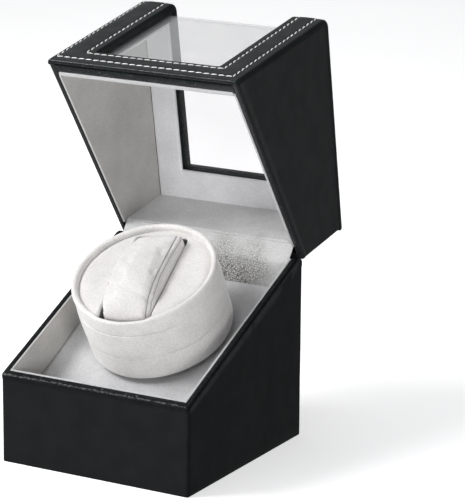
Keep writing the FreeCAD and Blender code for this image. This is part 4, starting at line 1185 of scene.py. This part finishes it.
def smooth_path(points, count):
    """Even points along a curve through points."""
    fine = curve(points, 24)
    along = np.concatenate([[0], np.cumsum(np.linalg.norm(np.diff(fine, axis=0), axis=1))])
    at = np.linspace(0, along[-1], count)
    return np.stack([np.interp(at, along, values) for values in fine.T], axis=1)


# ---- turntable -------------------------------------------------------------------------------------
SEAM_1, SEAM_2 = DRUM_TOP - 11.0, DRUM_TOP - 29.0
BAND_R = 45.05                     # the band between the seams


def at_slot(degrees):
    """1 where the slot cuts into the drum's rim, 0 elsewhere; degrees are counted from the slot's middle."""
    t = clamp((27.0 - abs((degrees + 180.0) % 360.0 - 180.0)) / 6.0)
    return t * t * (3 - 2 * t)


def build_drum():
    """Suede wrapped round the drum in three bands, rolled over its rim."""
    profile = [(43.32, 4.05), (43.9, 4.0), (44.35, 4.35), (44.6, 5.2)]
    for t in np.linspace(0, 1, 10)[1:]:
        profile.append((44.65 + 0.15 * math.sin(math.pi * t), 5.2 + (SEAM_2 - 6.3) * t))
    profile += [(44.6, SEAM_2 - 0.6), (44.4, SEAM_2 - 0.25), (43.95, SEAM_2 - 0.08), (43.95, SEAM_2 + 0.08)]
    profile += [(44.6, SEAM_2 + 0.25), (44.95, SEAM_2 + 0.5)]
    for t in np.linspace(0, 1, 12):
        profile.append((BAND_R + 0.12 * math.sin(math.pi * t), SEAM_2 + 0.9 + (SEAM_1 - SEAM_2 - 1.5) * t))
    profile += [(45.0, SEAM_1 - 0.42), (44.75, SEAM_1 - 0.2), (44.15, SEAM_1 - 0.06), (44.15, SEAM_1 + 0.1)]
    profile += [(44.65, SEAM_1 + 0.26), (44.85, SEAM_1 + 0.5)]
    profile += [(44.9, z) for z in np.linspace(SEAM_1 + 1.1, DRUM_TOP - 3.6, 6)]
    roll = np.radians(range(2, 201, 18))
    inside = [(40.4, DRUM_TOP - 4.4), (41.4, DRUM_TOP - 4.8), (43.0, DRUM_TOP - 5.0), (43.32, 6.0)]
    columns = []
    for a in np.arange(200) * (2 * math.pi / 200):
        c, s = math.cos(a), math.sin(a)
        turned = math.degrees(a) if a < math.pi else math.degrees(a) - 360
        cut = at_slot(math.degrees(a) + 90.0 - math.degrees(PILLOW_TURN))
        # the upper seam is only seen on part of the way round
        stitched = 1.0 / (1.0 + math.exp((turned + 42) / 5.0)) if -160 < turned < 120 else 1.0
        line = []
        for r, z in profile:
            if SEAM_2 + 0.6 < z < SEAM_1 + 0.55:
                upper = (z - SEAM_2) / (SEAM_1 - SEAM_2)
                r += (BAND_R - 0.15 * upper - r) * (1 - stitched) * clamp(upper * 2.0)
            if 6.0 < z and r > 44:
                r += 0.20 * lump(c * 2.6, s * 2.6, z / 13.0)
                if SEAM_2 + 1 < z < SEAM_1 - 1:
                    tuck = (turned + 107) * 0.78 + (z - 30.0) * 0.6
                    r += 0.35 * math.exp(-((tuck / 1.1) ** 2)) * math.exp(-(((z - 34.0) / 2.6) ** 2))
            line.append((r, z))
        soft = 0.16 * lump(c * 4.0, s * 4.0, 8.0)
        for b in roll:
            r = 43.25 + 0.55 * cut + (1.9 - 0.65 * cut) * math.cos(b)
            line.append((r, DRUM_TOP - 1.5 - 0.35 * cut + soft + (2.1 - 0.5 * cut) * math.sin(b)))
        line += [(r + 1.8 * cut if r < 42 else r, z) for r, z in inside]
        columns.append([(r * c, r * s, z) for r, z in line])
    rows = np.array(columns).transpose(1, 0, 2)
    obj = loft("drum_suede", rows, SUEDE, wrap_rows=True, place=on_deck, sharp=55.0)
    piece(obj, "turntable", "suede_white", "drum_cover", "drum_rim")


def face_edge(a):
    return FACE_R + 1.35 * at_slot(math.degrees(a) + 90.0)


def slot_loop(grow, angles):
    """Rounded slot outline, one point in each direction, kept within the face's edge."""
    hx, hy = (SLOT_RIGHT - SLOT_LEFT) / 2 + grow, (SLOT_FAR - SLOT_NEAR) / 2 + grow
    cx, cy = (SLOT_RIGHT + SLOT_LEFT) / 2, (SLOT_FAR + SLOT_NEAR) / 2
    r = max(2.6 + grow, 0.5)
    out = []
    for a in angles:
        c, s = math.cos(a), math.sin(a)
        low, high = 0.0, face_edge(a) - 0.95 + 0.5 * grow
        for _ in range(30):
            mid = (low + high) / 2
            qx, qy = abs(mid * c - cx) - (hx - r), abs(mid * s - cy) - (hy - r)
            if math.hypot(max(qx, 0), max(qy, 0)) + min(max(qx, qy), 0) < r:
                low = mid
            else:
                high = mid
        out.append((low * c, low * s))
    return np.array(out)


def build_face():
    """The drum's padded face, its slot and the lined pocket below."""
    count = 260
    angles = np.linspace(0, 2 * math.pi, count, endpoint=False)
    outer = np.array([(face_edge(a) * math.cos(a), face_edge(a) * math.sin(a)) for a in angles])
    edge = slot_loop(1.5, angles)
    gap = np.linalg.norm(outer - edge, axis=1)
    rows = []
    for t in np.linspace(1, 0, 13):
        mix = edge + (outer - edge) * t
        from_rim, from_slot = (1 - t) * gap, t * gap
        z = FACE_Z - 1.1 * np.exp(-((from_rim / 1.3) ** 2))
        z = z + 0.5 * np.clip(from_rim / 8, 0, 1) * np.clip(1 - from_slot / 9, 0, 1)
        lumps = np.array([lump(x / 12.0, y / 12.0, 5.5) for x, y in mix])
        z = z + 0.25 * lumps * np.clip(from_rim / 5, 0, 1)
        rows.append(np.column_stack([mix, z]))
    base = rows[-1][:, 2]
    lip = len(rows) + 3
    for grow, drop in ((1.0, 0.10), (0.55, 0.32), (0.2, 0.7), (0.02, 1.25), (0.0, 2.0)):
        rows.append(np.column_stack([slot_loop(grow, angles), base - drop]))
    wall = slot_loop(0.0, angles)
    for z in np.linspace(FACE_Z - 4.0, POCKET_FLOOR + 1.0, 8):
        bulge = np.array([lump(x / 9.0, y / 9.0, z / 9.0) for x, y in wall])
        rows.append(np.column_stack([wall * (1 - bulge[:, None] * 0.008), np.full(count, z)]))
    for grow, z in ((-0.6, POCKET_FLOOR + 0.3), (-2.0, POCKET_FLOOR + 0.1), (-8.0, POCKET_FLOOR + 0.1)):
        rows.append(np.column_stack([slot_loop(grow, angles), np.full(count, z)]))
    rows.append(np.tile(np.array([[0.0, 0.0, POCKET_FLOOR + 0.1]]), (count, 1)))
    obj = loft("drum_face_suede", rows, SUEDE_FACE, place=on_turntable, sharp=60.0)
    # From the lip down, the slot's walls and the pocket floor take the near-black suede: painted shade.
    obj.data.materials.append(SUEDE_POCKET_SHADE)
    for polygon in obj.data.polygons[lip * count:]:
        polygon.material_index = 1
    piece(obj, "turntable", "suede_white", "drum_face", "pillow_pocket")


# Outline of the pillow along its left and right edges: distance along the slot, height above the drum.
PILLOW_LOW = POCKET_FLOOR + 0.7 - DRUM_TOP
PILLOW_LEFT = [
    (-37.4, PILLOW_LOW), (-38.2, -16.0), (-39.0, -8.0), (-39.3, -2.6), (-38.3, 1.8), (-35.0, 6.0),
    (-29.6, 8.5), (-24.0, 10.2), (-17.7, 11.5), (-11.5, 12.2), (-2.5, 12.3), (5.6, 11.1), (16.4, 8.3),
    (23.6, 5.6), (28.0, 3.2), (29.8, -1.0), (30.0, -12.0), (29.4, PILLOW_LOW),
]
PILLOW_RIGHT = [
    (-37.4, PILLOW_LOW), (-38.2, -16.0), (-38.2, -8.5), (-36.6, -4.6), (-33.4, -1.6), (-29.4, 1.4),
    (-24.6, 4.0), (-19.7, 5.6), (-14.0, 6.5), (-8.0, 6.9), (-1.0, 7.1), (6.0, 7.0), (14.0, 6.7),
    (22.0, 6.6), (28.0, 6.1), (31.2, 2.2), (31.7, -12.0), (31.0, PILLOW_LOW),
]
PILLOW_HALF = 14.0
GROWN = 10.0                       # the cushion is simulated and sewn at this many times its size


def build_pillow():
    """Arched cushion: a top panel that runs from the back of the slot down into its front, with side
    gussets sewn on along both edges. It is swollen by a cloth simulation."""
    left, right = curve(PILLOW_LEFT, 6), curve(PILLOW_RIGHT, 6)
    tangent = unit(np.gradient((left + right) / 2, axis=0))
    outward = np.column_stack([-tangent[:, 1], tangent[:, 0]])
    slim = 0.4
    flare = np.interp(right[:, 0], [-30.0, 10.0, 28.0], [0.2, 0.5, 1.6])
    tuck = np.interp(left[:, 0], [-38.0, -30.0, -16.0], [0.7, 0.4, 0.0])
    columns = []
    for u in np.linspace(-1, 1, 15):
        w = (u + 1) / 2
        line = left * (1 - w) + right * w + outward * (0.9 * (1 - u * u) - slim)
        columns.append([
            (u * (PILLOW_HALF - slim) + max(u, 0.0) * wide + max(-u, 0.0) * narrow, v, DRUM_TOP + h)
            for (v, h), wide, narrow in zip(line, flare, tuck)
        ])
    for side, line in ((1, right), (-1, left)):
        rings = []
        for inset, out in ((1.2, 0.75), (2.8, 1.15), (5.0, 1.3), (8.5, 1.2)):
            ring = line - outward * (inset + slim)
            beyond = out + np.minimum(flare, 1.75 - out) if side > 0 else 0.3 * out - tuck
            reach = PILLOW_HALF - slim + beyond
            rings.append([(side * x, v, DRUM_TOP + h) for (v, h), x in zip(ring, reach)])
        columns = columns + rings if side > 0 else rings[::-1] + columns
    points = np.array(columns)
    points[..., 2] = np.maximum(points[..., 2], POCKET_FLOOR + 0.7)
    obj = add_mesh("pillow_suede", points.reshape(-1, 3) * GROWN, tube(*points.shape[:2]), [SUEDE_PILLOW])
    with edit_mesh(obj.data) as bm:
        tidy_caps(bm)
    modify(obj, "REMESH", mode="VOXEL", voxel_size=0.010, use_smooth_shade=True)
    puff(obj, 0.008)
    modify(obj, "SMOOTH", iterations=5, factor=0.5)
    obj.data.materials.clear()
    obj.data.materials.append(SUEDE_PILLOW)
    sew_pillow(obj, left, right)
    modify(obj, "SUBSURF", levels=1)
    obj.data.polygons.foreach_set("use_smooth", [True] * len(obj.data.polygons))
    set_points(obj, on_turntable(mesh_points(obj) / (GROWN * MM)) * MM)
    piece(obj, "pillow", "suede_white", "watch_pillow")


def mesh_points(obj, what="co"):
    values = np.zeros(len(obj.data.vertices) * 3)
    obj.data.vertices.foreach_get(what, values)
    return values.reshape(-1, 3)


def set_points(obj, points):
    obj.data.vertices.foreach_set("co", points.reshape(-1))
    obj.data.update()


def puff(obj, cap):
    """Swells a closed mesh by cloth pressure, no point moving further than cap metres."""
    rest = mesh_points(obj)
    cloth = obj.modifiers.new("cloth", "CLOTH")
    settings = cloth.settings
    settings.quality = 5
    settings.mass = 0.3
    settings.tension_stiffness = 22
    settings.compression_stiffness = 22
    settings.shear_stiffness = 10
    settings.bending_stiffness = 0.8
    settings.use_pressure = True
    settings.uniform_pressure_force = 4.0
    settings.effector_weights.gravity = 0.0
    cloth.collision_settings.use_collision = False
    scene = bpy.context.scene
    last = 20
    scene.frame_start, scene.frame_end = 1, last
    cloth.point_cache.frame_start, cloth.point_cache.frame_end = 1, last
    for step in range(1, last + 1):
        scene.frame_set(step)
    moved = obj.evaluated_get(bpy.context.evaluated_depsgraph_get())
    mesh = moved.to_mesh()
    shift = np.array([v.co for v in mesh.vertices]) - rest
    moved.to_mesh_clear()
    size = np.linalg.norm(shift, axis=1, keepdims=True)
    shift *= np.minimum(1.0, cap / np.maximum(size, 1e-9))
    obj.modifiers.clear()
    scene.frame_set(1)
    set_points(obj, rest + shift)


# On the right (1) and left (-1) side: how far each seam runs below the cushion's top edge, and its name.
SEAMS = {1: ((0.0, "top"), (2.9, "middle")), -1: ((2.9, "top"), (6.0, "lower"))}


def sew_pillow(obj, left, right):
    """Presses the seams into the pillow, while it is still grown, and lays a thread in each."""
    tree = BVHTree.FromObject(obj, bpy.context.evaluated_depsgraph_get())
    grown = GROWN * MM
    seams = []
    for side, line, label in ((1, right, "right"), (-1, left, "left")):
        top = line[(line[:, 1] > -7.0) & (line[:, 0] < 28.0)]
        for below, part in SEAMS[side]:
            on_edge = below == 0
            toward = Vector((-side, 0, -1 if on_edge else 0)).normalized()
            away = 6.0
            above = DRUM_TOP - below + (away if on_edge else 0.0)
            hits = []
            for v, h in top[top[:, 1] - below >= -3.4]:
                start = Vector((side * (PILLOW_HALF + away), v, h + above))
                hit = tree.ray_cast(start * grown, toward, 0.2)[0]
                if hit is not None:
                    hits.append(np.array(hit) / grown)
            if len(hits) > 8:
                seams.append((label + "_" + part, side, smooth_path(hits, 90), 0.5 if on_edge else 0.3))
    co, normals = mesh_points(obj) / grown, mesh_points(obj, "normal")
    sink = np.zeros(len(co))
    for _, side, hits, depth in seams:
        near = np.nonzero(side * co[:, 0] > 9)[0]
        gap = np.min(np.linalg.norm(co[near, None, :] - hits[None, :, :], axis=2), axis=1)
        sink[near] = np.maximum(sink[near], depth * np.exp(-((gap / 0.85) ** 2)))
    crease = (co[:, 1] + 23.5 + 0.2 * co[:, 0]) / 1.6
    sink += 0.28 * np.exp(-(crease**2)) * (co[:, 2] > DRUM_TOP - 1) * (normals[:, 2] > 0.3)
    set_points(obj, (co - normals * sink[:, None]) * GROWN * MM)
    for label, side, hits, depth in seams:
        path = hits - np.array([side * depth * 0.55, 0, depth * 0.2])
        radius = 0.26 if depth > 0.4 else 0.17
        piping("pillow_seam_" + label, path, radius, SEAM, "pillow", "suede_white", place=on_turntable)


# ---- everything the CAD shows as it is -------------------------------------------------------------
def finish_cad_nodes():
    slots = {part["node"]: part["material_slot"] for part in frame["record"]["subparts"]}
    for name, obj in frame["nodes"].items():
        obj.data.materials.clear()
        obj.data.materials.append(FINISHES[slots[name]])
        obj.data.set_sharp_from_angle(angle=math.radians(30))


# ---- stage -----------------------------------------------------------------------------------------
def build_floor():
    s = Surface("floor_white")
    tint = s.blend(s.mottle(400.0, 2.0), (0.87, 0.87, 0.875), (0.90, 0.90, 0.905))
    s.colour(tint)
    s.set(Roughness=0.95, Specular_IOR_Level=0.05)
    glow = s.add("Emission")
    s.link(tint, glow.inputs["Color"])
    s.link(s.times(s.add("LightPath").outputs["Is Camera Ray"], 0.62), glow.inputs["Strength"])
    s.join("AddShader", None, s.shader, glow, s.output)
    grid = np.linspace(-4000, 4000, 9)
    points = [(x, y, 0.0) for x in grid for y in grid]
    floor = add_mesh("floor", points, quads(9, 9), [s.material], close=False)
    floor.visible_glossy = False


def build_lamps():
    """Rectangular lamps: power, size, place and the height above the origin they point at (metres)."""
    for name, power, size, place, aim in (
        ("key", 22.5, (0.8, 0.6), (-1.0, -0.72, 1.15), 0.10),
        ("front", 4.5, (1.2, 0.5), (-0.25, -1.6, 0.30), 0.12),
        ("right", 11.0, (0.5, 0.4), (1.35, -1.15, 0.26), 0.12),
        ("above", 2.0, (0.8, 0.8), (0.0, 0.30, 1.5), 0.1),
    ):
        data = bpy.data.lights.new(name, "AREA")
        data.shape = "RECTANGLE"
        data.size, data.size_y = size
        data.energy = power
        obj = bpy.data.objects.new(name, data)
        bpy.context.scene.collection.objects.link(obj)
        obj.location = place
        away = Vector(place) - Vector((0.0, 0.0, aim))
        obj.rotation_euler = away.to_track_quat("Z", "Y").to_euler()


def build_world():
    """Grey surroundings, darker to the right, that the camera itself sees as white."""
    world = bpy.data.worlds.new("studio")
    bpy.context.scene.world = world
    world.use_nodes = True
    sky = Nodes(world.node_tree)
    background = sky.tree.nodes["Background"]
    background.inputs["Strength"].default_value = 1.0
    split = sky.add("SeparateXYZ")
    sky.link(sky.add("TexCoord").outputs["Generated"], split.inputs[0])
    side = sky.span(split.outputs["X"], -0.6, 0.7)
    shade = sky.blend(side, (0.46, 0.465, 0.47), (0.06, 0.062, 0.065))
    seen = sky.add("LightPath").outputs["Is Camera Ray"]
    sky.link(sky.blend(seen, shade, (1.0, 1.0, 1.0)), background.inputs["Color"])


def build_camera():
    """The photograph's camera. Its aim and distance are given in widths of the box."""
    azimuth, elevation, roll = math.radians(29.526), math.radians(14.6164), math.radians(0.446)
    width = 0.130
    aim_up, aim_right, aim_over, distance = 0.6, 0.36308, 0.34961, 12.9003
    level = math.cos(elevation)
    back = Vector((math.sin(azimuth) * level, -math.cos(azimuth) * level, math.sin(elevation)))
    right = Vector((math.cos(azimuth), math.sin(azimuth), 0.0))
    up = back.cross(right)
    target = Vector((0, 0, aim_up * width)) + right * (aim_right * width) + up * (aim_over * width)
    across = right * math.cos(roll) + up * math.sin(roll)
    over = up * math.cos(roll) - right * math.sin(roll)
    data = bpy.data.cameras.new("camera")
    data.lens = 199.774
    data.sensor_width = 36.0
    data.clip_start, data.clip_end = 0.05, 20.0
    camera = bpy.data.objects.new("camera", data)
    bpy.context.scene.collection.objects.link(camera)
    turned = Matrix((across, over, back)).transposed().to_4x4()
    camera.matrix_world = Matrix.Translation(target + back * (distance * width)) @ turned
    bpy.context.scene.camera = camera


finish_cad_nodes()
build_base_cover()
build_base_linings()
build_deck()
build_lid_shell()
build_window_frame()
build_pane()
build_lid_linings()
build_hinge_lining()
build_drum()
build_face()
build_pillow()
build_floor()
build_lamps()
build_world()
build_camera()
bpy.context.scene.view_settings.view_transform = "Standard"
